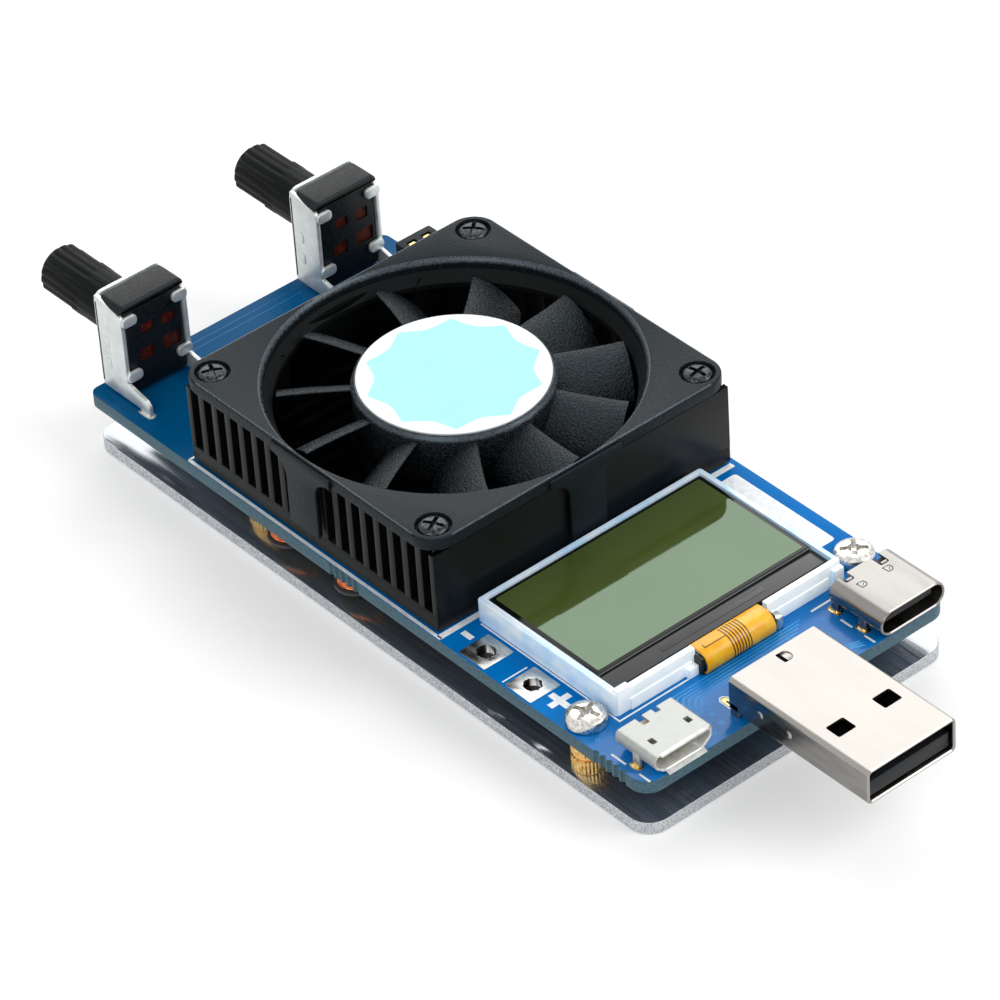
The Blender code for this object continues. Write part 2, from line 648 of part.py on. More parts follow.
for k in range(4):
    rim = [(-34, STATOR_R), (-12, STATOR_R), (12, STATOR_R), (34, STATOR_R), (36, STATOR_R - 0.9)]
    waist = [(18, STATOR_R - 1.1), (24, STATOR_WAIST_R), (66, STATOR_WAIST_R), (72, STATOR_R - 1.1)]
    waist += [(54, STATOR_R - 0.9)]
    for deg, radius in rim + waist:
        a = math.radians(90 * k + deg)
        poles.append((radius * math.cos(a), FRAME_Y + radius * math.sin(a)))
stator = part("fan_stator", prism(poles, stator_z, stator_z + STATOR_H), (0.5, 0.25, 0.1), 0.8, 0.45)
cut(stator, rod(BEARING_TUBE_R + GAP, stator_z - 1, stator_z + STATOR_H + 1, 0, FRAME_Y, 24))

# Twin lead from the driver board over the low fins, through its channel and up into the plug.
lead_z = lead_floor + GAP + LEAD_R
lead_x0 = (DRIVER_R + 0.7) * 0.7071
sink_rear = SINK_Y + SINK_W / 2
lead_up_y = (sink_rear + HEADER_Y0) / 2
header_z0 = PCB_Z1 + GAP
plug_z0 = header_z0 + 0.8 + GAP
plug_z1 = plug_z0 + PLUG_H
plug_y = HEADER_Y0 + HEADER_WALL + GAP + PLUG_D / 2
path = [(lead_x0, FRAME_Y + lead_x0, lead_z), (LEAD_X - 1.3, FRAME_Y + LEAD_X - 3.4, lead_z)]
path += [(LEAD_X - 0.2, FRAME_Y + LEAD_X - 1.6, lead_z), (LEAD_X, FRAME_Y + LEAD_X + 0.4, lead_z)]
path += [(LEAD_X, sink_rear - 0.3, lead_z), (LEAD_X, lead_up_y - 0.15, lead_z + 0.35)]
path += [(LEAD_X, lead_up_y, lead_z + 1.0), (LEAD_X, lead_up_y, plug_z1 - 0.2)]
exit_y = plug_y - PLUG_D / 2 + 0.55
path += [(LEAD_X, lead_up_y + 0.3, plug_z1 + 0.55), (LEAD_X, (lead_up_y + exit_y) / 2, plug_z1 + 0.85)]
path += [(LEAD_X, exit_y - 0.3, plug_z1 + 0.65), (LEAD_X, exit_y, plug_z1 + GAP)]
sides = [(0.7071, -0.7071)] * 2 + [(0.95, -0.3)] + [(1.0, 0.0)] * 9
strands = []
for split in (LEAD_SPLIT, -LEAD_SPLIT):
    strands.append([(x + split * u, y + split * v, z) for (x, y, z), (u, v) in zip(path, sides)])
lead = part("fan_lead", wire(strands[0], LEAD_R), (0.25, 0.02, 0.02), 0.0, 0.45)
join(lead, wire(strands[1], LEAD_R))


def around_plug(half_w, half_d, z0, z1, bm=None, x=LEAD_X):
    """A block round the plug's upright middle, or round one of its pins."""
    return box(x - half_w, x + half_w, plug_y - half_d, plug_y + half_d, z0, z1, bm)


half_w = PLUG_W / 2
half_d = PLUG_D / 2
outline = rounded(LEAD_X - half_w, LEAD_X + half_w, plug_y - half_d, plug_y + half_d, [0.25] * 4, 2)
plug = part("fan_plug", prism(outline, plug_z0, plug_z1), (0.03, 0.03, 0.03), 0.0, 0.5)
windows = bmesh.new()
pins = bmesh.new()
pin_holes = bmesh.new()
for x in (LEAD_X - 1.0, LEAD_X + 1.0):
    front = plug_y - half_d
    box(x - 0.55, x + 0.55, front - 1, front + 0.4, plug_z1 - 3.0, plug_z1 - 1.6, windows)
    around_plug(0.55, 0.55, plug_z0 - 1, plug_z0 + 3.2, windows, x)
    around_plug(0.25, 0.25, PCB_Z0 - 0.6, plug_z0 + 2.8, pins, x)
    around_plug(0.25 + HOLE_ROOM, 0.25 + HOLE_ROOM, PCB_Z0 - 1, PCB_Z1 + 1, pin_holes, x)
cut(plug, windows)
half_w += GAP
half_d += GAP
block = around_plug(half_w + HEADER_WALL, half_d + HEADER_WALL, header_z0, header_z0 + HEADER_H)
header = part("fan_header", block, (0.85, 0.84, 0.8), 0.0, 0.5)
cut(header, around_plug(half_w, half_d, header_z0 + 0.8, header_z0 + HEADER_H + 1))
join(header, pins)
cut(board, pin_holes)

# Display: light guide with two glasses in its tray, a dark driver strip and the folded flex.
lcd_z0 = PCB_Z1 + GAP
lcd_z1 = PCB_Z1 + LCD_TOP
SEAT = 0.15
glass_z0 = lcd_z1 - 2 * GLASS_T - 2 * SEAT - 0.05
x0 = LCD_X0 + LCD_RIM
x1 = LCD_X1 - LCD_RIM
y0 = LCD_Y0 + LCD_RIM
y1 = LCD_Y1 - LCD_RIM
outline = rounded(LCD_X0, LCD_X1, LCD_Y0, LCD_Y1, [0.4] * 4, 2)
guide = part("lcd_light_guide", prism(outline, lcd_z0, lcd_z1), (0.8, 0.86, 0.92), 0.0, 0.2)
cut(guide, box(x0, x1, y0, y1, glass_z0 - SEAT, lcd_z1 + 1))
notch_z = glass_z0 + GLASS_T * 0.8
cut(guide, box(FLEX_X0 - GAP, FLEX_X1 + GAP, LCD_Y0 - 1, y0 + 0.2, notch_z, lcd_z1 + 1))
feet = bmesh.new()
for fx in (LCD_X0, LCD_X1 - 1.6):
    box(fx + 0.1, fx + 1.5, LCD_Y0 - 0.7, LCD_Y0 + 0.2, lcd_z0 + 0.1, lcd_z1 - 0.5, feet)
join(guide, feet)
x0 += SEAT
x1 -= SEAT
sheet = box(x0, x1, y0 + SEAT, y1 - SEAT, glass_z0, glass_z0 + GLASS_T)
part("lcd_glass", sheet, (0.1, 0.12, 0.1), 0.0, 0.05)
top_z = glass_z0 + GLASS_T + SEAT
split_y = LCD_Y0 + LCD_LEDGE
sheet = box(x0, x1, split_y + SEAT, y1 - SEAT, top_z, top_z + GLASS_T)
part("lcd_front_glass", sheet, (0.2, 0.28, 0.16), 0.0, 0.05)
sheet = box(x0, x1, y0 + 0.75, split_y - SEAT, top_z, top_z + GLASS_T * 0.7)
part("lcd_driver_strip", sheet, (0.03, 0.03, 0.035), 0.0, 0.4)
flex_z = top_z + FLEX_T / 2 + 0.1
foot_z = PCB_Z1 + GAP + FLEX_T / 2
drop = [(y0 + 0.45, flex_z), (LCD_Y0 - 0.25, flex_z), (LCD_Y0 - 0.75, flex_z - 0.3)]
drop += [(LCD_Y0 - 1.0, flex_z - 0.9), (LCD_Y0 - 1.1, PCB_Z1 + 0.95), (LCD_Y0 - 1.35, PCB_Z1 + 0.5)]
drop += [(LCD_Y0 - 1.8, foot_z), (LCD_Y0 - 2.5, foot_z)]
upper = []
lower = []
for i, (y, z) in enumerate(drop):
    before = drop[max(i - 1, 0)]
    after = drop[min(i + 1, len(drop) - 1)]
    run_y = after[0] - before[0]
    run_z = after[1] - before[1]
    scale = FLEX_T / 2 / math.hypot(run_y, run_z)
    upper.append((y + run_z * scale, z - run_y * scale))
    lower.append((y - run_z * scale, z + run_y * scale))
fold = prism(upper + lower[::-1], FLEX_X0, FLEX_X1, None, ALONG_X)
part("lcd_flex", fold, (0.85, 0.45, 0.05), 0.0, 0.35)

# USB-A plug: folded shell with square holes, and the insulator that carries four contacts.


def y_prism(outline, y0, y1, bm=None):
    """A prism along Y over an outline of (x, z)."""
    stand = Matrix.Rotation(math.pi / 2, 4, "X")
    return prism(outline, -y1, -y0, bm, stand)


w = USB_WALL
usb_z0 = PCB_Z1 + GAP
usb_z1 = usb_z0 + USB_A_H
outline = rounded(USB_A_X0, USB_A_X1, usb_z0, usb_z1, [0.5] * 4, 3)
shell = part("usb_a_shell", y_prism(outline, USB_A_FRONT, USB_A_REAR), (0.75, 0.73, 0.7), 1.0, 0.3)
outline = rounded(USB_A_X0 + w, USB_A_X1 - w, usb_z0 + w, usb_z1 - w, [0.25] * 4, 2)
cut(shell, y_prism(outline, USB_A_FRONT - 1, USB_A_REAR + 1))
HOLE_W = 2.35
HOLE_D = 2.0
HOLE_FRONT = 5.75
HOLE_X = 3.1
punch = bmesh.new()
for side in (-1, 1):
    x = usb_a_mid + side * HOLE_X
    y = USB_A_FRONT + HOLE_FRONT
    box(x - HOLE_W / 2, x + HOLE_W / 2, y, y + HOLE_D, usb_z0 - 1, usb_z1 + 1, punch)
cut(shell, punch)
legs = bmesh.new()
for side in (-1, 1):
    x0, x1 = leg_span(usb_a_mid, usb_a_w, side)
    grow = w - LEG_T
    x0, x1 = (x0, x1 + grow) if side < 0 else (x0 - grow, x1)
    box(x0, x1, usb_a_leg_y - 0.6, usb_a_leg_y + 0.6, PCB_Z0 - 0.6, usb_z0 + 1.2, legs)
join(shell, legs)
room = 0.2
low = usb_z0 + w + room
body_y = USB_A_REAR - 5.4
x0 = USB_A_X0 + w + room
x1 = USB_A_X1 - w - room
bed = box(x0, x1, USB_A_FRONT + 0.5, USB_A_REAR - 0.2, low, low + 1.85)
core = part("usb_a_insulator", bed, (0.03, 0.03, 0.03), 0.0, 0.5)
join(core, box(x0 + 0.1, x1 - 0.1, body_y, USB_A_REAR - 0.3, low + 0.5, usb_z1 - w - room))
contacts = bmesh.new()
for dx in (-3.5, -1.0, 1.0, 3.5):
    x = usb_a_mid + dx
    box(x - 0.5, x + 0.5, USB_A_FRONT + 1.4, body_y + 0.5, low + 1.5, low + 2.0, contacts)
join(core, contacts)

# USB-C receptacle: drawn shell on four legs, with its tongue.


def stadium(x, z, w, h, steps=7):
    r = h / 2
    outline = []
    for side, start in ((1, -90), (-1, 90)):
        for k in range(steps + 1):
            a = math.radians(start + 180 * k / steps)
            outline.append((x + side * (w / 2 - r) + r * math.cos(a), z + r * math.sin(a)))
    return outline


c_z = PCB_Z1 + GAP * 0.7 + USB_C_H / 2
outline = stadium(USB_C_X, c_z, USB_C_W, USB_C_H)
shell = part("usb_c_shell", y_prism(outline, USB_C_FRONT, USB_C_REAR), (0.8, 0.78, 0.75), 1.0, 0.25)
legs = bmesh.new()
for side, y in usb_c_legs:
    x0, x1 = leg_span(USB_C_X, USB_C_W, side)
    box(x0, x1, y - 0.5, y + 0.5, PCB_Z0 - 0.5, c_z, legs)
join(shell, legs)
outline = stadium(USB_C_X, c_z, USB_C_W - 0.6, USB_C_H - 0.6)
cut(shell, y_prism(outline, USB_C_FRONT - 1, USB_C_REAR + 1))
outline = stadium(USB_C_X, c_z, USB_C_W - 1.0, USB_C_H - 1.0)
block = y_prism(outline, USB_C_REAR - 2.4, USB_C_REAR - 0.2)
tongue = part("usb_c_tongue", block, (0.03, 0.03, 0.03), 0.0, 0.5)
x0 = USB_C_X - 3.35
x1 = USB_C_X + 3.35
join(tongue, box(x0, x1, USB_C_FRONT + 0.8, USB_C_REAR - 1.0, c_z - 0.35, c_z + 0.35))

# Micro-USB receptacle: keystone shell with flared lips, on two legs, with its tongue.
m_z0 = PCB_Z1 + GAP * 0.8
m_z1 = m_z0 + MICRO_H
h = MICRO_W / 2


def keystone(inset):
    """Half of the outline, then its mirror image: narrow foot, corner, upright side, small top corner."""
    far = [(h - 1.25 - inset, m_z0 + inset), (h - inset, m_z0 + MICRO_H * 0.42 + inset / 3)]
    far += [(h - inset, m_z1 - 0.3 - inset / 2), (h - 0.3 - inset / 2, m_z1 - inset)]
    return [(MICRO_X + x, z) for x, z in far] + [(MICRO_X - x, z) for x, z in reversed(far)]


shell = part("micro_usb_shell", y_prism(keystone(0.0), MICRO_FRONT, MICRO_REAR), (0.8, 0.78, 0.75), 1.0, 0.3)
legs = bmesh.new()
for side in (-1, 1):
    x0, x1 = leg_span(MICRO_X, MICRO_W, side)
    box(x0, x1, micro_leg_y - 0.5, micro_leg_y + 0.5, PCB_Z0 - 0.4, m_z1 - 0.8, legs)
join(shell, legs)
cut(shell, y_prism(keystone(0.3), MICRO_FRONT - 1, MICRO_REAR + 1))
x0 = MICRO_X - 2.5
x1 = MICRO_X + 2.5
join(shell, box(x0, x1, MICRO_FRONT - 0.35, MICRO_FRONT + 0.3, m_z0, m_z0 + 0.25))
blade = box(x0 + 0.4, x1 - 0.4, MICRO_FRONT + 0.9, MICRO_REAR - 0.4, m_z0 + 1.05, m_z0 + 1.55)
tongue = part("micro_usb_tongue", blade, (0.03, 0.03, 0.03), 0.0, 0.5)
join(tongue, box(MICRO_X - 2.3, MICRO_X + 2.3, MICRO_REAR - 1.8, MICRO_REAR - 0.2, m_z0 + 0.5, m_z1 - 0.5))

# Two potentiometers, shafts over the board's end.
shaft_z = PCB_Z1 + POT_AXIS_H
pot_z0 = PCB_Z1 + GAP
pot_z1 = PCB_Z1 + POT_H
sheet = POT_SHEET
bush = POT_SHAFT_R + GAP
plate_back = POT_FRONT_Y - sheet
FINGER_L = 2.0
FINGER_H = 1.3
split_turn = math.radians(POT_SPLIT_TURN)
for name, x in (("pot_near", POT_NEAR_X), ("pot_far", POT_FAR_X)):
    h = POT_W / 2
    front = box(x - h, x + h, plate_back, POT_FRONT_Y, pot_z0 + 0.4, pot_z1)
    bracket = part(f"{name}_bracket", front, (0.62, 0.65, 0.67), 1.0, 0.35)
    sides = bmesh.new()
    front_y = POT_FRONT_Y - 0.1
    back = POT_BACK_Y
    foot = POT_LEG_Y + LEG_W
    outline = [(front_y, pot_z0), (front_y, pot_z1 - 0.8), (back + 0.9, pot_z1 - 0.8), (back, pot_z1 - 1.4)]
    outline += [(back, pot_z0 + 2.1), (POT_LEG_Y + 0.6, pot_z0 + 1.5), (POT_LEG_Y, pot_z0 + 0.9)]
    outline += [(POT_LEG_Y, PCB_Z0 - 0.6), (foot, PCB_Z0 - 0.6), (foot, pot_z0)]
    for side in (-1, 1):
        prism(outline, *leg_span(x, POT_W, side), sides, ALONG_X)
    join(bracket, sides)
    fingers = bmesh.new()
    for side in (-1, 1):
        for z in (pot_z1 - 2.5, pot_z0 + 2.3):
            outer = x + side * (h - 0.05)
            tip = x + side * (h - FINGER_L)
            y = POT_BACK_Y
            box(min(outer, tip), max(outer, tip), y - 0.35, y + 0.15, z, z + FINGER_H, fingers)
    join(bracket, fingers)
    turn = Matrix.Translation((x, 0, shaft_z)) @ ALONG_Y
    cut(bracket, rod(bush, plate_back - 1, POT_FRONT_Y + 1, 0, 0, 32, None, turn))
    inside = h - sheet - GAP
    case_y0 = POT_BACK_Y + 0.15 + GAP
    case_y1 = plate_back - GAP
    block = box(x - inside, x + inside, case_y0, case_y1, pot_z0 + 0.5, pot_z1 - 0.35)
    case = part(f"{name}_body", block, (0.02, 0.02, 0.022), 0.0, 0.5)
    join(case, box(x - h + 0.05, x + h - 0.05, case_y0 - 0.3, case_y1, pot_z1 - 0.5, pot_z1 - 0.05))
    axis = (x, POT_FRONT_Y, shaft_z)
    bore = inside - 0.25
    cut(case, rod(bore, case_y0 + 0.5, case_y1 + 1, 0, 0, 32, None, turn))
    tails = bmesh.new()
    room = 0.3 + GAP
    for pin in pot_pins:
        y = POT_PIN_Y
        box(x + pin - room, x + pin + room, y - room, y + room, pot_z0 - 1, shaft_z, tails)
    cut(case, tails)
    plate_r = bore - 0.2
    disc = rod(plate_r, POT_PIN_Y - 0.2, POT_PIN_Y + 0.2, 0, 0, 32, None, turn)
    element = part(f"{name}_element", disc, (0.25, 0.12, 0.05), 0.0, 0.6)
    terminals = bmesh.new()
    for pin in pot_pins:
        left = x + pin - 0.3
        box(left, left + 0.6, POT_PIN_Y - 0.15, POT_PIN_Y + 0.15, PCB_Z0 - 0.6, shaft_z - 0.6, terminals)
    join(element, terminals)
    wiper_y = POT_PIN_Y + 0.2 + GAP
    disc = rod(plate_r - 0.4, wiper_y, wiper_y + 0.3, 0, 0, 16, None, turn)
    wiper = part(f"{name}_wiper", disc, (0.75, 0.6, 0.25), 1.0, 0.3, axis)
    cut(wiper, box(x - 0.6, x + 0.6, wiper_y - 1, wiper_y + 1, shaft_z + 0.9, shaft_z + 3.0))
    shaft_y0 = wiper_y + 0.3 + 0.2
    knurl_y = POT_TIP_Y - POT_KNURL_L
    r = POT_SHAFT_R
    profile = [(0, shaft_y0), (r - 0.1, shaft_y0), (r - 0.1, knurl_y), (r - 0.45, knurl_y + 0.2)]
    profile += [(r - 0.45, POT_TIP_Y - 0.3), (r - 0.85, POT_TIP_Y), (0, POT_TIP_Y)]
    shaft = part(f"{name}_shaft", lathe(profile, 0, 0, 20, turn), (0.015, 0.017, 0.02), 0.0, 0.45)
    join(shaft, prism(gear(r, 0.25, POT_KNURLS), knurl_y + 0.3, POT_TIP_Y - 0.45, None, turn))
    split = []
    for along, across in ((-5, -0.5), (5, -0.5), (5, 0.5), (-5, 0.5)):
        u = along * math.cos(split_turn) - across * math.sin(split_turn)
        v = along * math.sin(split_turn) + across * math.cos(split_turn)
        split.append((x + u, shaft_z + v))
    cut(shaft, y_prism(split, POT_TIP_Y - 5.0, POT_TIP_Y + 1))

# Under the board: two wound inductors and the pieces of the load circuit.
core_z1 = PCB_Z0 - GAP
core_z0 = core_z1 - CORE_H
for name, y in (("rear", CORE_REAR_Y), ("front", CORE_FRONT_Y)):
    low = core_z0 + CORE_FLANGE
    high = core_z1 - CORE_FLANGE
    waist = CORE_WAIST_R
    profile = [(0, core_z0), (CORE_R - 0.1, core_z0), (CORE_R, core_z0 + 0.1), (CORE_R, low), (waist, low)]
    profile += [(waist, high), (CORE_R, high), (CORE_R, core_z1), (0, core_z1)]
    part(f"inductor_{name}_core", lathe(profile, CORE_X, y, 18), (0.12, 0.12, 0.13), 0.2, 0.6)
    waist += 0.15
    wound = CORE_R - 0.45
    low += 0.12
    high -= 0.12
    profile = [(waist, low), (wound, low), (wound + 0.15, (low + high) / 2), (wound, high), (waist, high)]
    part(f"inductor_{name}_winding", lathe(profile, CORE_X, y, 18), (0.75, 0.28, 0.1), 0.9, 0.3)

chips = (
    ("mosfet", 0.0, 7.15, 6.6, 6.1, 2.3),
    ("microcontroller", 1.5, -20.5, 7.0, 7.0, 1.4),
    ("sense_resistor", -7.5, -6.0, 6.3, 3.2, 0.7),
    ("op_amp", 11.0, -19.0, 4.9, 3.9, 1.5),
)
for name, x, y, width, depth, height in chips:
    z1 = PCB_Z0 - GAP
    z0 = z1 - height
    outline = rounded(x - width / 2, x + width / 2, y - depth / 2, y + depth / 2, [0.25] * 4, 2)
    chip = part(name, prism(outline, z0, z1), (0.03, 0.03, 0.032), 0.0, 0.5)
    leads = bmesh.new()
    if name == "mosfet":
        box(x - 2.6, x + 2.6, y + depth / 2 - 0.2, y + depth / 2 + 1.0, z1 - 0.5, z1, leads)
        for dx in (-2.3, 2.3):
            box(x + dx - 0.4, x + dx + 0.4, y - depth / 2 - 2.4, y - depth / 2 + 0.2, z1 - 0.5, z1, leads)
    elif name == "sense_resistor":
        for side in (-1, 1):
            edge = x + side * (width / 2 - 0.3)
            reach = depth / 2 + 0.05
            box(edge - 0.6, edge + 0.6, y - reach, y + reach, z0 - 0.05, z1 - 0.1, leads)
    else:
        rows = 8 if name == "microcontroller" else 4
        pitch = 0.8 if name == "microcontroller" else 1.27
        for k in range(rows):
            off = (k - (rows - 1) / 2) * pitch
            for side in (-1, 1):
                edge = y + side * (depth / 2 + 0.3)
                box(x + off - 0.18, x + off + 0.18, edge - 0.5, edge + 0.5, z1 - 0.35, z1 - 0.1, leads)
    join(chip, leads)
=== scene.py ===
import math

import bmesh
import bpy
import numpy as np
from mathutils import Euler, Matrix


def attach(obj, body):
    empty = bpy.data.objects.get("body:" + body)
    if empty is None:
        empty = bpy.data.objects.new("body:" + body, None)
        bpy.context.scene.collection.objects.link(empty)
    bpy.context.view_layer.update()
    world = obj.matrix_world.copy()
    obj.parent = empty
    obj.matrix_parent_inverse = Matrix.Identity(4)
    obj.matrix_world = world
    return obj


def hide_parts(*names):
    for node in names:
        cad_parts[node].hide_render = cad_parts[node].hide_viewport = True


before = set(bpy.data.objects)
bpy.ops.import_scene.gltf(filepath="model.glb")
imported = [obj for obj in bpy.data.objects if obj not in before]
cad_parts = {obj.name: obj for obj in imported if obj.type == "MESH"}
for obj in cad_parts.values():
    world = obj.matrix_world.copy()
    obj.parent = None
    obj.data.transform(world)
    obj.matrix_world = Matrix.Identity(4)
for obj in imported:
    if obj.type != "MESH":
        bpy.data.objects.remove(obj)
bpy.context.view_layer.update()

# Base plate: one 1.5 mm sheet of aluminium that the whole board stands on, countersunk from below
# for four screws. It is guillotined from bright rolled sheet, so its faces mirror what stands over
# them, with faint rolling lines, and its sheared edges are pale and grainy.
MM = 0.001
ORDER = {"z": [0, 1, 2], "y": [0, 2, 1], "x": [2, 0, 1]}
HALF_W = 20.65
HALF_L = 44.9
PLATE_TOP = 1.5
HOLES = {"front_near": (-18.25, -33.5), "front_far": (18.25, -33.5)}
HOLES |= {"rear_near": (-16.0, 21.0), "rear_far": (16.0, 21.0)}


def linear(code):
    """The linear colour of an sRGB hex value."""
    value = np.array([int(code[i : i + 2], 16) for i in (1, 3, 5)]) / 255
    return (*np.where(value <= 0.04045, value / 12.92, ((value + 0.055) / 1.055) ** 2.4), 1.0)


def add(tree, kind, links=None, **settings):
    """Adds a node, sets its properties, then gives sockets, by name or number, a value or a link."""
    node = tree.nodes.new("ShaderNode" + kind)
    for key, value in settings.items():
        setattr(node, key, value)
    for socket, value in (links or {}).items():
        if isinstance(value, bpy.types.NodeSocket):
            tree.links.new(value, node.inputs[socket])
        else:
            node.inputs[socket].default_value = value
    return node


def new_finish(name, size, colours, rough, bump=0.0, stretch=(1, 1, 1), spread=(0.35, 0.65), **sockets):
    """A material of one Principled shader. Noise of a real size in mm, at Object coordinates, moves its
    colour and its roughness between two values each, and raises a bump of a height in mm. Other
    sockets are given by name, with _ for a space."""
    finish = bpy.data.materials.new(name)
    finish.use_nodes = True
    tree = finish.node_tree
    shader = tree.nodes["Principled BSDF"]
    for socket, value in sockets.items():
        shader.inputs[socket.replace("_", " ")].default_value = value
    place = add(tree, "TexCoord").outputs["Object"]
    place = add(tree, "Mapping", {"Vector": place, "Scale": stretch}).outputs[0]
    noise = add(tree, "TexNoise", {"Vector": place, "Scale": 1 / (size * MM), "Detail": 3.0}).outputs["Fac"]
    span = {"Value": noise, "From Min": spread[0], "From Max": spread[1]}
    level = add(tree, "MapRange", span).outputs[0]
    colour = add(tree, "Mix", {0: level, 6: linear(colours[0]), 7: linear(colours[1])}, data_type="RGBA")
    tree.links.new(colour.outputs[2], shader.inputs["Base Color"])
    grade = add(tree, "MapRange", span | {"To Min": rough[0], "To Max": rough[1]})
    tree.links.new(grade.outputs[0], shader.inputs["Roughness"])
    if bump:
        raised = add(tree, "Bump", {"Height": noise, "Distance": bump * MM})
        tree.links.new(raised.outputs[0], shader.inputs["Normal"])
    return finish


def skin(rings, closed=False):
    """A surface through rings of points: point j of ring i joins j + 1 and ring i + 1. The end rings
    are filled, unless the last ring joins the first. A shape is its points, corners and face sizes."""
    m, n = rings.shape[:2]
    i = np.arange(m if closed else m - 1)[:, None]
    j = np.arange(n)[None, :]
    around = (j + 1) % n
    after = (i + 1) % m
    corners = np.stack([i * n + j, i * n + around, after * n + around, after * n + j], -1).ravel()
    sizes = np.full(len(corners) // 4, 4)
    if not closed:
        corners = np.concatenate([corners, np.arange(n)[::-1], np.arange((m - 1) * n, m * n)])
        sizes = np.append(sizes, [n, n])
    return rings.reshape(-1, 3), corners, sizes


def rounded(x0, x1, y0, y1, r, steps=6):
    """A rectangle's outline, anticlockwise, with a quarter circle at each corner."""
    r = np.broadcast_to(np.asarray(r, float), 4)[:, None]
    a = np.radians(np.linspace(0, 90, steps)[None, :] + np.array([-90, 0, 90, 180])[:, None])
    cx = np.where(np.array([1, 1, 0, 0])[:, None], x1 - r, x0 + r)
    cy = np.where(np.array([0, 1, 1, 0])[:, None], y1 - r, y0 + r)
    return np.stack([cx + r * np.cos(a), cy + r * np.sin(a)], -1).reshape(-1, 2)


def slab(outline, low, high, edge=0.1, axis="z", steps=3):
    """A plate over an outline with rounded edges: at turn a it is drawn in by edge (1 - sin a), at
    edge (1 - cos a) from its face. It is as thick as low to high along x, y or z."""
    outline = np.asarray(outline, float)
    after = np.roll(outline, -1, 0)
    if (outline[:, 0] * after[:, 1] - outline[:, 1] * after[:, 0]).sum() < 0:
        outline = outline[::-1]
        after = np.roll(outline, -1, 0)
    ahead = after - outline
    ahead = ahead / np.linalg.norm(ahead, axis=1, keepdims=True)
    behind = np.roll(ahead, 1, 0)
    mitre = np.stack([ahead[:, 1] + behind[:, 1], -ahead[:, 0] - behind[:, 0]], -1)
    mitre /= 1 + (ahead * behind).sum(1, keepdims=True)
    turn = np.linspace(0, math.pi / 2, steps)
    inset = edge * (1 - np.sin(turn))
    rise = edge * (1 - np.cos(turn))
    rings = np.zeros((2 * steps, len(outline), 3))
    rings[..., :2] = outline - np.concatenate([inset, inset[::-1]])[:, None, None] * mitre
    rings[..., 2] = np.concatenate([low + rise, high - rise[::-1]])[:, None]
    return skin(rings[..., ORDER[axis]])


def block(x0, x1, y0, y1, z0, z1, edge=0.05, corner=None, steps=4):
    """A box with rounded edges, and rounded upright corners."""
    return slab(rounded(x0, x1, y0, y1, corner or edge * 1.5, steps), z0, z1, edge)


def circle(steps):
    """The angles of a full turn in equal steps."""
    return np.linspace(0, 2 * math.pi, steps, endpoint=False)


def spun(radius, heights, centre, axis="z", closed=False):
    """Rings about an axis through a centre: a radius for each height and angle."""
    a = circle(radius.shape[1])
    rings = np.zeros((*radius.shape, 3))
    rings[..., 0] = centre[0] + radius * np.cos(a)
    rings[..., 1] = centre[1] + radius * np.sin(a)
    rings[..., 2] = heights[:, None]
    return skin(rings[..., ORDER[axis]], closed)


def turned(profile, centre, steps=64, axis="z", closed=False):
    """A profile of (radius, height) turned about an axis through a centre."""
    profile = np.asarray(profile, float)
    radius = np.broadcast_to(profile[:, :1], (len(profile), steps))
    return spun(radius, profile[:, 1], centre, axis, closed)


def merged(*shapes):
    """Several shapes as one."""
    starts = np.cumsum([0] + [len(points) for points, _, _ in shapes])
    corners = np.concatenate([corners + start for (_, corners, _), start in zip(shapes, starts)])
    return np.concatenate([s[0] for s in shapes]), corners, np.concatenate([s[2] for s in shapes])


def mesh_of(shape, name):
    """A mesh in metres from a shape in mm."""
    points, corners, sizes = shape
    mesh = bpy.data.meshes.new(name)
    mesh.vertices.add(len(points))
    mesh.vertices.foreach_set("co", (points * MM).ravel())
    mesh.loops.add(len(corners))
    mesh.loops.foreach_set("vertex_index", corners.astype(np.int32))
    mesh.polygons.add(len(sizes))
    mesh.polygons.foreach_set("loop_start", np.append(0, np.cumsum(sizes)[:-1]).astype(np.int32))
    mesh.update(calc_edges=True)
    return mesh


def weld(mesh):
    """Merges a mesh's doubles, then turns its faces outwards."""
    bm = bmesh.new()
    bm.from_mesh(mesh)
    bmesh.ops.remove_doubles(bm, verts=bm.verts, dist=0.0005 * MM)
    bmesh.ops.recalc_face_normals(bm, faces=bm.faces)
    bm.to_mesh(mesh)
    bm.free()


def read_all(items, key, kind=np.int32, width=1):
    """One property of all of a mesh's vertices, loops or faces, as an array."""
    values = np.empty(len(items) * width, kind)
    items.foreach_get(key, values)
    return values


def new_object(name, data):
    """An object with this data, linked to the scene."""
    obj = bpy.data.objects.new(name, data)
    bpy.context.scene.collection.objects.link(obj)
    return obj


def carve(shape, *cutters):
    """Cuts closed shapes out of a closed shape, one after another, and returns what is left."""
    tools = []
    for solid in (shape, *cutters):
        tools.append(new_object("carving", mesh_of(solid, "carving")))
        weld(tools[-1].data)
    for tool in tools[1:]:
        modifier = tools[0].modifiers.new("Cut", "BOOLEAN")
        modifier.object = tool
        modifier.solver = "EXACT"
    graph = bpy.context.evaluated_depsgraph_get()
    left = bpy.data.meshes.new_from_object(tools[0].evaluated_get(graph))
    points = read_all(left.vertices, "co", float, 3).reshape(-1, 3) / MM
    corners = read_all(left.loops, "vertex_index")
    sizes = read_all(left.polygons, "loop_total")
    for tool in tools:
        mesh = tool.data
        bpy.data.objects.remove(tool)
        bpy.data.meshes.remove(mesh)
    bpy.data.meshes.remove(left)
    return points, corners, sizes


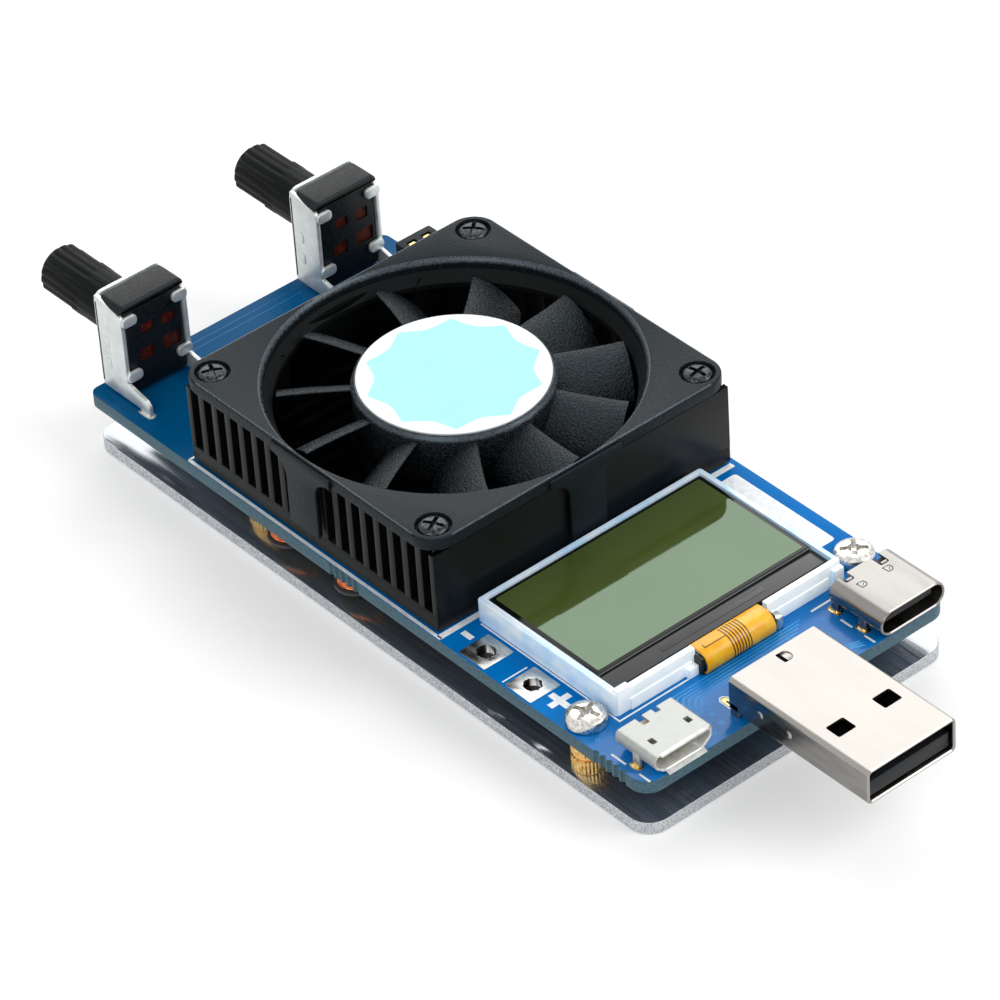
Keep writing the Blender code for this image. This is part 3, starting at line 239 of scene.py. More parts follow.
def piece(name, shapes, nodes=(), body="board", paint=(), sharp=35):
    """One object of (shape, finish) pairs. paint lists (test, finish): the test picks faces by their
    middles in mm and their normals, each as rows of x, y and z. The piece rides on a body and stands
    for nodes. Edges turn sharp from an angle in degrees."""
    finishes = list(dict.fromkeys(finish for _, finish in [*shapes, *paint]))
    mesh = mesh_of(merged(*[shape for shape, _ in shapes]), name)
    numbers = [np.full(len(shape[2]), finishes.index(finish), np.int32) for shape, finish in shapes]
    mesh.polygons.foreach_set("material_index", np.concatenate(numbers))
    weld(mesh)
    middles = read_all(mesh.polygons, "center", float, 3).reshape(-1, 3).T / MM
    normals = read_all(mesh.polygons, "normal", float, 3).reshape(-1, 3).T
    numbers = read_all(mesh.polygons, "material_index")
    for test, finish in paint:
        numbers[test(middles, normals)] = finishes.index(finish)
    mesh.polygons.foreach_set("material_index", numbers)
    for finish in finishes:
        mesh.materials.append(finish)
    mesh.shade_smooth()
    mesh.set_sharp_from_angle(angle=math.radians(sharp))
    obj = new_object(name, mesh)
    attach(obj, body)
    if nodes:
        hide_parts(*nodes)


def dress(finish, *nodes):
    """Gives CAD nodes that stay a finish of their own."""
    for node in nodes:
        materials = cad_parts[node].data.materials
        materials.clear()
        materials.append(finish)


def upright(at, facing):
    """True for the faces round the sides of a plate."""
    return np.abs(facing[2]) < 0.6


# Bright rolled aluminium: a near mirror, a little duller in fine streaks along the sheet.
plate_face = new_finish(
    "bright rolled aluminium", 0.3, ("#9EA2A6", "#B4B8BB"), (0.12, 0.26), stretch=(1, 0.03, 1), Metallic=0.85)
# Sheared aluminium: torn grain of about a quarter of a millimetre, drawn as coarse as it shows.
plate_edge = new_finish(
    "sheared aluminium", 0.17, ("#A2A7AD", "#E2E5E8"), (0.4, 0.6), 0.03, spread=(0.38, 0.62), Metallic=0.4)
plate = block(-HALF_W, HALF_W, -HALF_L, HALF_L, 0, PLATE_TOP, 0.1, 2.6, 14)
sinks = [turned([(0, -1), (3.3, -1), (1.3, 1.05), (1.3, 2), (0, 2)], hole, 48) for hole in HOLES.values()]
piece("base_plate_sheet", [(carve(plate, *sinks), plate_face)], ["base_plate"],
      paint=[(upright, plate_edge)])

# Screws of the base: four countersunk steel screws, driven from below into the standoffs and flush
# with the plate's underside. Their nickel plate is bright, with a warm grey cast in soft patches.
screw_steel = new_finish("nickel plated screw steel", 0.6, ("#B8B3AB", "#E0DDD8"), (0.14, 0.32), Metallic=1.0)
dress(screw_steel, *[f"base_screw_{place}" for place in HOLES])

# Standoffs: four turned brass spacers of 4 mm between plate and board, with a straight knurl and a
# plain groove round the middle. The rear two end in a stud that holds the heatsink down.
BOARD_LOW = 5.5
BOARD_TOP = 7.1
FLUTES = 26
FLUTE_DEPTH = 0.1
# Turned brass: warm and bright, in patches where the tool and the fingers left it duller.
brass = new_finish("turned brass", 0.5, ("#DCA552", "#FBD894"), (0.15, 0.34), Metallic=0.9)
heights = np.array([0, 0, 0.12, 1.75, 1.82, 2.18, 2.25, 3.88, 4.0, 4.0]) + PLATE_TOP
radii = np.array([0, 1.68, 1.8, 1.8, 1.62, 1.62, 1.8, 1.8, 1.68, 0])
knurled = np.array([0, 0, 1, 1, 0, 0, 1, 1, 0, 0])
flute = FLUTE_DEPTH * (1 - np.abs(np.sin(circle(FLUTES * 8) * FLUTES / 2))) ** 1.5
for place, (x, y) in HOLES.items():
    shapes = [(spun(radii[:, None] - knurled[:, None] * flute, heights, (x, y)), brass)]
    if place.startswith("rear"):
        shapes.append((turned([(0, 5), (1, 5), (1, 8.9), (0.8, 9.1), (0, 9.1)], (x, y), 32), brass))
    piece(f"standoff_knurled_{place}", shapes, [f"standoff_{place}"])

# Board: 1.6 mm glass-fibre board under glossy blue solder resist. It was snapped out of a panel,
# which left two rows of half-round bites in its near edge, and its cut edges show the bare laminate.
OUTPUTS = ((-18.4, -18.35), (-18.4, -25.5))
OUTPUT_R = 1.05


def bore(centre, radius, low, high, steps=32, axis="z"):
    """A plain round cutter about an axis."""
    return turned([(0, low), (radius, low), (radius, high), (0, high)], centre, steps, axis)


def underneath(at, facing):
    """True for the faces that look down."""
    return facing[2] < -0.6


# The film is pale at the USB end. Towards the rear its colour is darkened, a painted shade, and
# towards the USB end its gloss is raised, a painted sheen: both are graded along the board.
resist = new_finish(
    "blue solder resist over copper", 9.0, ("#0068B0", "#0075C4"), (0.16, 0.26), Specular_IOR_Level=0.12)
tree = resist.node_tree
shader = tree.nodes["Principled BSDF"]
thin_blue = shader.inputs["Base Color"].links[0].from_socket
along = add(tree, "SeparateXYZ", {0: add(tree, "TexCoord").outputs["Object"]}).outputs["Y"]
rear = add(tree, "MapRange", {"Value": along, "From Min": -10 * MM, "From Max": 22 * MM}).outputs[0]
# Painted shade: the blue deepens towards the rear.
rear_shade_blue = add(tree, "Mix", {0: rear, 6: thin_blue, 7: linear("#005282")}, data_type="RGBA")
tree.links.new(rear_shade_blue.outputs[2], shader.inputs["Base Color"])
# Painted sheen: the gloss rises towards the USB end.
gloss = add(tree, "MapRange", {
    "Value": along, "From Min": -41 * MM, "From Max": -31 * MM, "To Min": 0.42, "To Max": 0.03})
tree.links.new(gloss.outputs[0], shader.inputs["Specular IOR Level"])
# The underside faces its own shade and is half covered with flux and solder, so it is darker.
low_resist = new_finish(
    "blue solder resist of the underside", 4.0, ("#093654", "#14567E"), (0.25, 0.4), Specular_IOR_Level=0.3)
# Sawn laminate: grey blue layers of glass and resin, matt and finely ragged.
laminate = new_finish(
    "cut edge of the laminate", 0.4, ("#1F4254", "#446C79"), (0.4, 0.65), 0.02, stretch=(1, 1, 3))
board = block(-HALF_W, HALF_W, -HALF_L, HALF_L, BOARD_LOW, BOARD_TOP, 0.05, [2.2, 1.2, 1.2, 2.2], 12)
drill = [bore(hole, 1.3, 4, 9) for hole in HOLES.values()]
drill += [bore(hole, OUTPUT_R, 4, 9, 48) for hole in OUTPUTS]
drill += [bore((-HALF_W - 0.05, y + k), 0.35, 4, 9, 24) for y in (-39.6, 1.6) for k in (-2, -1, 0, 1, 2)]
piece("circuit_board", [(carve(board, merged(*drill)), resist)], ["pcb"],
      paint=[(upright, laminate), (underneath, low_resist)])

# Marks on the board: white screen printed lines and signs, copper tracks that show as paler lines
# under the resist, small plated holes, and two square tinned output pads round drilled holes.
PRINT_TOP = BOARD_TOP + 0.02
TRACK_TOP = BOARD_TOP + 0.015
PAD_HALF = 2
SHADE_FROM = 20
OUTLINE_X = 20.35
OUTLINE_Y = -13.28
OUTLINE_REAR = 27.7


def stroke(path, width, low=BOARD_TOP, high=PRINT_TOP):
    """A flat line along a path. Its outline is the path moved half the width to each side."""
    path = np.reshape(path, (-1, 2)).astype(float)
    ahead = np.diff(path, axis=0)
    ahead /= np.linalg.norm(ahead, axis=1, keepdims=True)
    first = np.concatenate([ahead[:1], ahead])
    last = np.concatenate([ahead, ahead[-1:]])
    side = np.stack([-first[:, 1] - last[:, 1], first[:, 0] + last[:, 0]], -1)
    side *= width / 2 / (1 + (first * last).sum(1, keepdims=True))
    return slab(np.concatenate([path - side, (path + side)[::-1]]), low, high, 0, "z", 1)


def ring(x, y, inner, outer, low, high, steps):
    """A flat ring about an upright axis."""
    profile = [(inner, low), (outer, low), (outer, high), (inner, high)]
    return turned(profile, (x, y), steps, closed=True)


# Screen ink: an opaque, slightly uneven white.
silk = new_finish("white screen printed ink", 0.8, ("#E3E8EB", "#FAFBFB"), (0.5, 0.6))
# Resist over a copper track is paler and a hair higher than over bare laminate.
track_resist = new_finish(
    "blue solder resist over a raised track", 3.0, ("#2688D0", "#45A0E4"), (0.16, 0.26),
    Specular_IOR_Level=0.2)
# Towards the rear the tracks are painted a deeper blue: painted shade, as on the resist.
rear_shaded_track = new_finish(
    "deep blue solder resist over a raised track", 3.0, ("#17609A", "#2474B0"), (0.2, 0.3),
    Specular_IOR_Level=0.12)
# Hot tin: bright and soft, drawn in faint ridges as it ran off.
tin = new_finish(
    "hot tinned copper", 0.7, ("#AEB0AE", "#CFD0CC"), (0.2, 0.36), 0.003, stretch=(1, 0.3, 1), Metallic=1.0)
# Plating in the holes: streaks along the drill, the bright ones partly painted highlights, near black lower
# down.
hole_plating = new_finish(
    "tin plating of a drilled hole", 0.5, ("#33363A", "#F4F5F4"), (0.15, 0.3),
    stretch=(1, 1, 0.05), spread=(0.42, 0.56), Metallic=1.0)
flux = new_finish("burnt flux", 0.4, ("#0D0B09", "#221D18"), (0.35, 0.5))
# Solder wets the gold in waves, so yellow and silver alternate.
gold_solder = new_finish(
    "gold plated pad wetted with solder", 0.5, ("#B98C3A", "#F2D894"), (0.12, 0.3), 0.03, Metallic=1.0)
lines = [stroke(path, width) for width, *path in (
    (0.4, -OUTLINE_X, OUTLINE_REAR, -OUTLINE_X, OUTLINE_Y - 0.3),
    (0.74, -OUTLINE_X, OUTLINE_Y, 19.95, OUTLINE_Y),
    (0.3, -OUTLINE_X, OUTLINE_REAR, 19.6, OUTLINE_REAR),
    (0.2, -15.88, -14.6, -15.88, -35.75, -6.6, -35.75),
    (0.16, -20.3, -23.05, -17.0, -23.05),
    (0.68, -18.04, -15.77, -18.04, -14.27),
    (0.78, -18.05, -30.6, -18.05, -27.85),
    (0.78, -19.4, -29.22, -18.44, -29.22),
    (0.78, -17.66, -29.22, -16.7, -29.22),
    (0.25, -19.75, -38.9, -19.75, -41.0),
    (0.25, -19.75, -43.0, -19.75, -44.6),
    (0.25, 10.55, -39.6, 10.55, -41.3),
    (0.25, 10.55, -43.1, 10.55, -44.6),
    (0.25, 9.3, -36.6, 15.2, -36.6),
    (0.16, -6.75, -43.0, -6.75, -40.5, -6.45, -40.1, -6.05, -40.1, -5.75, -40.5, -5.75, -43.0))]
bar = block(15.2, 19.1, -29.8, -14.6, BOARD_TOP, PRINT_TOP, 0, 0.4, 5)
piece("board_printed_lines", [(merged(*lines[:-1], bar, lines[-1]), silk)])
paths = []
for k in range(6):
    x, y = -10.9 + 0.45 * k, -36.75 - 0.42 * k
    paths.append((0.2, x, -41.6 + 0.25 * k, x, y - 1, x + 1, y, 7.6 - 0.5 * k, y))
for k in range(3):
    x, turn = 5.6 + 0.5 * k, 0.4 * k
    paths.append((0.2, x, -39.6, x, -42.2 - turn, 9.6, -43.4 - turn))
    x = -9.2 + 0.45 * k
    paths.append((0.25, x, 41.5, x, 29 + k, 11 - k, 29 + k))
paths += [(0.13, -9.3, y, 7.2, y) for y in (43.6, 42.6)]
vias = [(-8.6, -41.3), (-8.8, -43.0), (-9.9, -42.3), (-7.9, -39.8), (-10.4, -43.6), (9.2, -38.3)]
vias += [(-19.3, -36.4)] + [(4.7 + 0.75 * k, -38.4 - 0.7 * k) for k in range(4)]
tracks = [stroke(path, width, high=TRACK_TOP) for width, *path in paths]
tracks += [ring(x, y, 0.14, 0.3, BOARD_TOP, TRACK_TOP, 16) for x, y in vias]
slot = block(-6.6, -5.9, -43.2, -40.3, BOARD_TOP, BOARD_TOP + 0.04, 0.01, 0.34, 6)
flux_line = block(-6.4, -6.1, -42.6, -40.9, BOARD_TOP, BOARD_TOP + 0.08, 0.03)
piece("usb_a_solder_slot", [(slot, gold_solder), (flux_line, flux)])
# Tracks towards the rear are painted darker, as painted shade.
piece("board_tracks", [(merged(*tracks), track_resist)],
      paint=[(lambda at, facing: at[1] > SHADE_FROM, rear_shaded_track)])
for sign, (x, y) in zip(("minus", "plus"), OUTPUTS):
    pad = block(x - PAD_HALF, x + PAD_HALF, y - PAD_HALF, y + PAD_HALF,
                BOARD_TOP - 0.02, BOARD_TOP + 0.05, 0.02, 0.12, 3)
    barrel = ring(x, y, OUTPUT_R - 0.06, OUTPUT_R + 0.02, 6.2, BOARD_TOP + 0.06, 48)
    # Lower down, the hole is lined near black.
    foot = ring(x, y, OUTPUT_R - 0.05, OUTPUT_R, BOARD_LOW, 6.2, 48)
    pad = carve(pad, bore((x, y), OUTPUT_R - 0.02, 6, 7.3, 48))
    shapes = [(pad, tin), (barrel, hole_plating), (foot, flux)]
    piece(f"output_{sign}_pad", shapes)

# Heatsink: a 40 mm square of black anodised aluminium. The fins run across the board, and a round
# pocket is milled into them for the fan, with a deeper one for its motor and a channel for its lead.
FAN_Y = 7.15
SPIN_Y = 7.3
SINK_HALF = 20.05
SINK_TOP = 17.1
POCKET_Z = 10.7
POCKET_R = 19.2
MOTOR_R = 11.6
CHAMFER = 0.85
BASE_Z = 9.4
FIN_PITCH = 2.2
SLOT_HALF = 0.625


def round_the_fan(radius, low):
    """A test for the faces within a radius of the fan's axis and above a height."""
    return lambda at, facing: (np.hypot(at[0], at[1] - SPIN_Y) < radius) & (at[2] > low)


# Black anodising: a hard satin black, with fine extrusion lines along the fins.
anodised = new_finish(
    "black anodised aluminium", 0.5, ("#050707", "#0A0D0D"), (0.3, 0.44), 0.01,
    stretch=(0.05, 1, 0.05), Specular_IOR_Level=0.16)
# The milled pocket under the fan is painted near black: painted shade for the dark inside it.
pocket_painted_shade = new_finish(
    "painted shade of the milled pocket", 0.5, ("#030303", "#070808"), (0.6, 0.8), 0.01,
    Specular_IOR_Level=0.05)
slots = FAN_Y + (np.arange(18) - 8.5) * FIN_PITCH
starts = np.append(FAN_Y - SINK_HALF, slots + SLOT_HALF)
ends = np.append(slots - SLOT_HALF, FAN_Y + SINK_HALF)
fins = []
for low, high in zip(starts, ends):
    offset = max(abs((low + high) / 2 - SPIN_Y) - 0.3, 0.0)
    wide = math.sqrt(max(POCKET_R ** 2 - offset ** 2, 0.0))
    deep = math.sqrt(max(MOTOR_R ** 2 - offset ** 2, 0.0))
    side = [(SINK_HALF, BASE_Z - 0.1), (SINK_HALF, SINK_TOP)]
    if wide > 1:
        side += [(min(wide + CHAMFER, 19.99), SINK_TOP), (wide, SINK_TOP - CHAMFER), (wide, POCKET_Z)]
    mirror = [(-x, z) for x, z in side]
    if deep > 1:
        side += [(deep, POCKET_Z), (deep, BASE_Z - 0.1)]
        fins.append(slab(side, low, high, 0.07, "y"))
        fins.append(slab([(-x, z) for x, z in side], low, high, 0.07, "y"))
    else:
        fins.append(slab(side + mirror[::-1], low, high, 0.07, "y"))
channel = block(13.9, 16.9, 15.15, 28, POCKET_Z, POCKET_Z + 1.7, 0.1)
foot = block(-SINK_HALF, SINK_HALF, FAN_Y - SINK_HALF, FAN_Y + SINK_HALF, 7.4, BASE_Z, 0.08)
# Round the fan's axis the fins are painted with shade.
piece("heatsink_milled", [(foot, anodised), (carve(merged(*fins), channel), anodised)],
      ["heatsink"], paint=[(round_the_fan(19.9, 9.5), pocket_painted_shade)])
# Silicone thermal pad: a soft grey sheet, matt and slightly grainy where its edge shows.
pad_silicone = new_finish("grey thermal silicone", 0.4, ("#7C8286", "#A0A6A9"), (0.7, 0.85), 0.02)
dress(pad_silicone, "thermal_pad")

# Fan frame: one moulding of black glass-filled plastic, a thin square plate round the duct, with a
# sunk seat for a screw in each corner and a clip down the middle of each side of the fins.
FRAME_HALF = 20.55
FRAME_TOP = 18.9
DUCT_R = 20.0
SEAT = 17.9
CLIP_STARTS = (-20.9, 20.5)
COOL = linear("#CFE2EE")
# Glass-filled plastic: satin black with a fine grain, and a cool cast where light grazes it.
black_plastic = new_finish(
    "moulded black glass filled plastic", 0.22, ("#0A0E11", "#161D21"), (0.36, 0.55), 0.06,
    Specular_IOR_Level=0.18, Specular_Tint=COOL)
# The wall of the duct is painted a darker, more matt black than the frame: painted shade inside the duct.
duct_painted_shade = new_finish(
    "black wall of the duct with painted shade", 0.3, ("#050708", "#0C1012"), (0.55, 0.7), 0.03, Specular_IOR_Level=0.12)
# Along its rims the moulding is painted lighter, a painted highlight, and is smoother and more specular, so
# they catch the light as a pale line.
rim_painted_highlight = new_finish(
    "black moulding with a painted highlight on its rim", 0.3, ("#181D20", "#3A4248"), (0.2, 0.4), 0.04,
    Specular_IOR_Level=0.7, Specular_Tint=COOL)
outline = rounded(-FRAME_HALF, FRAME_HALF, SPIN_Y - FRAME_HALF, SPIN_Y + FRAME_HALF, 3, 12)
duct = [(0, 16), (DUCT_R, 16), (DUCT_R, 18.3), (20.05, 18.5), (20.16, 18.68), (20.32, 18.84), (20.5, 18.95)]
duct = turned(duct + [(20.5, 19.4), (0, 19.5)], (0, SPIN_Y), 160)
corners = [(x, SPIN_Y + y) for x in (-SEAT, SEAT) for y in (-SEAT, SEAT)]
seat = [(0, 18.3), (1.78, 18.3), (1.86, 18.36), (1.88, 18.78), (2.1, 19.2), (2.2, 19.5), (0, 19.5)]
seats = [turned(seat, place, 48) for place in corners]
plate = slab(outline, 17.4, FRAME_TOP, 0.22, steps=5)
turn = np.radians(np.linspace(0, 90, 8))
root = np.stack([4.8 - 2.45 * np.cos(turn), 15.4 + 2.1 * np.sin(turn)], -1)
clip = np.concatenate([[(2.35, 9.7)], root, [(4.8, 18.55)]])
clip = np.concatenate([clip, clip[::-1] * (-1, 1)])
collar = [(19.12, 15.8), (19.95, 15.8), (20.3, 17.6), (20.0, 17.6), (19.5, 16.9), (19.12, 16.4)]
collar = turned(collar, (0, SPIN_Y), 160, closed=True)
clips = [slab(clip + (SPIN_Y, 0), low, low + 0.4, 0.1, "x") for low in CLIP_STARTS]
clips += [slab(clip, SPIN_Y + low, SPIN_Y + low + 0.4, 0.1, "y") for low in CLIP_STARTS]
plate = carve(plate, duct, merged(*seats))
# The collar is painted with shade.
shapes = [(plate, black_plastic), (collar, duct_painted_shade), (merged(*clips), black_plastic)]
# The duct's rim is painted with a highlight.
piece("fan_frame_moulded", shapes, ["fan_frame"],
      paint=[(round_the_fan(20.45, 18.35), rim_painted_highlight)])

# Screws of the fan: four small black-finished pan head screws with a crossed recess, sunk in the
# frame's corners and biting between the fins.


def swung(points, angle, centre):
    """An outline turned about the origin by an angle, then moved to a centre."""
    c, s = math.cos(angle), math.sin(angle)
    return np.asarray(points) @ np.array([[c, s], [-s, c]]) + centre


def cross(x, y, angle, arm, width, low, high):
    """A crossed driver as a cutter between two heights: one quarter of its outline, turned four times."""
    w = width / 2
    quarter = np.array([(arm, -w), (arm, w), (w, w)])
    next_one = quarter[:, ::-1] * (-1, 1)
    outline = np.concatenate([quarter, next_one, -quarter, -next_one])
    return slab(swung(outline, angle, (x, y)), low, high, 0, "z", 1)


# Black oxide on steel: dark and half bright, worn to grey in specks.
black_steel = new_finish("black oxide steel", 0.35, ("#1C1F21", "#4A4E51"), (0.18, 0.38), 0.01, Metallic=0.85)
profile = [(0, 12.6), (0.5, 12.6), (0.75, 13), (0.75, 18.31), (1.58, 18.31), (1.64, 18.4), (1.62, 18.62)]
profile += [(1.48, 18.84), (1.1, 19.0), (0.6, 19.07), (0, 19.1)]
for k, (x, y) in enumerate(corners):
    head = carve(turned(profile, (x, y), 48), cross(x, y, 0.5 + 0.6 * k, 1.12, 0.46, 18.55, 19.5))
    piece(f"fan_screw_head_{k + 1}", [(head, black_steel)], [f"fan_screw_{k + 1}"])

# Rotor: hub cup and eleven swept, pitched blades in one moulding of the same black plastic. A blade's
# upper edge is nearly radial and its face drops clockwise, seen from above.
BLADES = 11
BLADE_TOP = 17.7
BLADE_DROP = 4.7
BLADE_HALF = 0.33
PITCH = math.radians(39)
HUB_R = 10.85
ROOT_R = 10.4
TIP_R = 18.6
# Blade plastic: glossier than the frame, with flow marks from the die that sparkle in grazing light.
blade_plastic = new_finish(
    "moulded black blade plastic", 0.2, ("#060809", "#262D32"), (0.14, 0.46), 0.2,
    spread=(0.46, 0.7), Specular_IOR_Level=0.38, Specular_Tint=COOL)


def blade(number):
    """A blade's middle surface is a function of s, from hub to tip, and t, from upper to lower edge. The
    radius grows with s, the angle falls with t over the blade's run, and the height falls with t by its
    drop, bowed by a sine. Both faces stand off it along its normal, thinned to round edges by t."""
    s = np.linspace(0, 1, 16)[:, None]
    t = (1 - np.cos(np.linspace(0, math.pi, 17)))[None, :] / 2
    radius = ROOT_R + (TIP_R - ROOT_R) * s + 0 * t
    run = BLADE_DROP / math.tan(PITCH)
    start = np.radians(13.3 - 5 * s + 3 * s * s) + 2 * math.pi * number / BLADES
    angle = start - run * (0.86 + 0.14 * s) * t / radius * (1 - 0.1 * s)
    height = BLADE_TOP - 0.35 * s - (BLADE_DROP - 0.35 * s) * (t - 0.16 * np.sin(math.pi * t))
    middle = np.stack([radius * np.cos(angle), SPIN_Y + radius * np.sin(angle), height], -1)
    normal = np.cross(np.gradient(middle, axis=0), np.gradient(middle, axis=1))
    normal /= np.linalg.norm(normal, axis=-1, keepdims=True)
    half = BLADE_HALF * np.sqrt(np.clip(1 - np.abs(2 * t - 1) ** 5, 0, 1)) * (1 - 0.12 * s)
    face = middle + normal * half[..., None]
    back = middle - normal * half[..., None]
    return skin(np.concatenate([face, back[:, -2:0:-1]], 1))


hub = [(9.85, 12.55), (10.75, 12.55), (HUB_R, 12.65), (HUB_R, 17.9), (10.75, 18.2), (10.5, 18.36)]
hub += [(10.45, 18.52), (10.36, 18.52), (10.34, 18.46), (0, 18.46), (0, 17.25), (9.85, 17.25)]
shapes = [(turned(hub, (0, SPIN_Y), 120, closed=True), blade_plastic)]
shapes += [(blade(number), blade_plastic) for number in range(BLADES)]
# The hub's rim carries the same painted highlight.
piece("fan_rotor_moulded", shapes, ["fan_rotor"], "fan_turning",
      [(round_the_fan(10.84, 17.95), rim_painted_highlight)], 50)

# Label of the fan: a round white film, printed with a plain pale cyan disc whose rim runs in ten
# hollow curves between ten points. Film and print are smooth and half matt.
film = new_finish("white label film", 2.0, ("#EAEDEE", "#F2F4F4"), (0.36, 0.45), Specular_IOR_Level=0.3)
cyan_print = new_finish(
    "pale cyan label print", 2.5, ("#A6ECEF", "#AEF0F3"), (0.36, 0.46), Specular_IOR_Level=0.3)
a = np.radians(np.arange(0, 360, 2.0))
part_way = np.mod(np.degrees(a) - 15.5, 36) / 36
hollow = 8.3 + 1.25 * np.abs(2 * part_way - 1) ** 1.7
print_disc = np.stack([hollow * np.cos(a), SPIN_Y + hollow * np.sin(a)], -1)
profile = [(0, 18.47), (10.28, 18.47), (10.3, 18.5), (10.3, 18.66), (10.26, 18.7), (0, 18.7)]
shapes = [(turned(profile, (0, SPIN_Y), 120), film)]
shapes += [(slab(print_disc, 18.69, 18.712, 0, steps=1), cyan_print)]
piece("fan_label_film", shapes, ["fan_label"], "fan_turning")

# Motor of the fan, under the hub: a rubber magnet ring and a ground steel shaft turn, round a laminated
# stator with its windings, a small green driver board, a sintered bronze bearing and a black base.
# The magnet is dull and grainy, the shaft is bright with grinding lines, and the bronze is porous.
magnet_rubber = new_finish("rubber bonded ferrite", 0.3, ("#2F2C2A", "#474341"), (0.5, 0.7))
ground_steel = new_finish(
    "ground shaft steel", 0.2, ("#B8B8BA", "#D8D8DA"), (0.1, 0.25), stretch=(0.1, 0.1, 1), Metallic=1.0)
sintered_bronze = new_finish("sintered bronze", 0.15, ("#8C5D2A", "#C79452"), (0.35, 0.6), Metallic=1.0)
green_board = new_finish("green driver board", 0.8, ("#155530", "#2A8049"), (0.3, 0.45))
# The wire's turns show as bright rings round the stator's poles.
wound_stator = new_finish(
    "enamelled copper over stator sheets", 0.18, ("#7C4420", "#D98A4A"), (0.25, 0.5), 0.03,
    stretch=(1, 1, 0.15), Metallic=0.8)
dress(magnet_rubber, "fan_magnet")
dress(ground_steel, "fan_shaft")
dress(sintered_bronze, "fan_bearing")
dress(green_board, "fan_driver_board")
dress(wound_stator, "fan_stator")
dress(black_plastic, "fan_base")

# Lead, plug and header of the fan: two insulated wires run through the fins' channel, rise behind the
# heatsink and bend over into a black crimp housing, which stands in its black board header.
LEAD_X = 15.4
RISE_Y = 28.05
LEAD_Z = 11.5
WIRE_R = 0.37
WAYS = (LEAD_X - 1, LEAD_X + 1)


def smooth(path, rounds=6):
    """A smooth curve through points: between two of them it is the cubic that leaves and reaches them
    along the mean run of their neighbours."""
    path = np.asarray(path, float)
    slope = np.gradient(path, axis=0)
    u = np.linspace(0, 1, rounds, endpoint=False)[None, :, None]
    curve = (2 * u ** 3 - 3 * u ** 2 + 1) * path[:-1, None] + (3 * u ** 2 - 2 * u ** 3) * path[1:, None]
    curve = curve + (u ** 3 - 2 * u ** 2 + u) * slope[:-1, None] + (u ** 3 - u ** 2) * slope[1:, None]
    return np.concatenate([curve.reshape(-1, path.shape[1]), path[-1:]])


def pipe(path, radius, steps=14):
    """A round wire: a circle carried square to a smooth curve, and never turned about it."""
    curve = smooth(path)
    ahead = np.gradient(curve, axis=0)
    ahead /= np.linalg.norm(ahead, axis=1, keepdims=True)
    aside = np.cross(ahead, (0.3, 0.2, 1.0))
    for k in range(1, len(aside)):
        aside[k] = aside[k - 1] - ahead[k] * (aside[k - 1] @ ahead[k])
    aside /= np.linalg.norm(aside, axis=1, keepdims=True)
    over = np.cross(ahead, aside)
    a = circle(steps)[None, :, None]
    return skin(curve[:, None] + radius * (np.cos(a) * aside[:, None] + np.sin(a) * over[:, None]))


def row(middles, half, *rest):
    """Like blocks in a row, each as far as half to both sides of its middle in x."""
    return merged(*[block(x - half, x + half, *rest) for x in middles])


# Insulation: soft plastic with a dull gloss, in one red and one black wire.
wire_red = new_finish("red wire insulation", 0.7, ("#64100E", "#8E1D18"), (0.3, 0.42))
wire_black = new_finish("black wire insulation", 0.7, ("#131314", "#262627"), (0.3, 0.42))
route = [(6.29, SPIN_Y + 6.29, LEAD_Z), (14.1, 19.3, LEAD_Z), (15.2, 21.1, LEAD_Z)]
route += [(LEAD_X, y, z) for y, z in (
    (23.1, LEAD_Z), (26.9, LEAD_Z), (RISE_Y - 0.15, 11.85), (RISE_Y, 12.5), (RISE_Y, 15.5),
    (RISE_Y + 0.3, 16.25), (29.2, 16.5), (30.05, 16.35), (30.35, 15.8))]
aside = [(0.7071, -0.7071)] * 2 + [(0.95, -0.3)] + [(1.0, 0.0)] * 9
shapes = []
for side, finish in ((WIRE_R, wire_red), (-WIRE_R, wire_black)):
    wire = [(x + side * u, y + side * v, z) for (x, y, z), (u, v) in zip(route, aside)]
    shapes.append((pipe(wire, WIRE_R), finish))
piece("fan_lead_wires", shapes, ["fan_lead"])
housing = block(13.0, 17.8, 29.8, 32.8, 8.5, 15.7, 0.12, 0.25)
windows = row(WAYS, 0.55, 29, 30.2, 12.7, 14.1, 0.02)
mouths = row(WAYS, 0.6, 30.7, 31.9, 14.9, 16.5, 0.02)
keys = merged(block(17.4, 18.5, 30.9, 31.7, 8, 14.9, 0.02), block(14.9, 15.9, 32.5, 33, 8, 14.5, 0.02))
contacts = row(WAYS, 0.45, 30.85, 31.75, 9, 15.6, 0.1)
shapes = [(carve(housing, windows, mouths, keys), black_plastic), (contacts, gold_solder)]
piece("fan_plug_housing", shapes, ["fan_plug"])
shroud = block(12.1, 18.7, 28.9, 33.7, 7.4, 12.4, 0.12, 0.2)
shroud = carve(shroud, block(12.7, 18.1, 29.5, 33.1, 8.2, 13, 0.02))
pins = row(WAYS, 0.25, 31.05, 31.55, 4.9, 8.5, 0.05)
piece("fan_header_shroud", [(shroud, black_plastic), (pins, tin)], ["fan_header"])

# Display: a clear acrylic light guide makes the tray. In it lie the rear glass, the front glass under
# its polariser, a dark driver strip on the ledge between them, and a flex that folds to the board.
GUIDE_LOW = 7.12
GUIDE_TOP = 9.95
GLASS_LOW = 9.15
FRONT_WALL = -34.4
# Its faint emission is a painted glow: it is no lamp, but its edges glow faintly.
acrylic = new_finish(
    "clear acrylic light guide with a painted glow", 4.0, ("#C4E5FF", "#F8FDFF"), (0.06, 0.16), IOR=1.49,
    Transmission_Weight=0.05, Emission_Color=linear("#9AD2FF"), Emission_Strength=0.1)
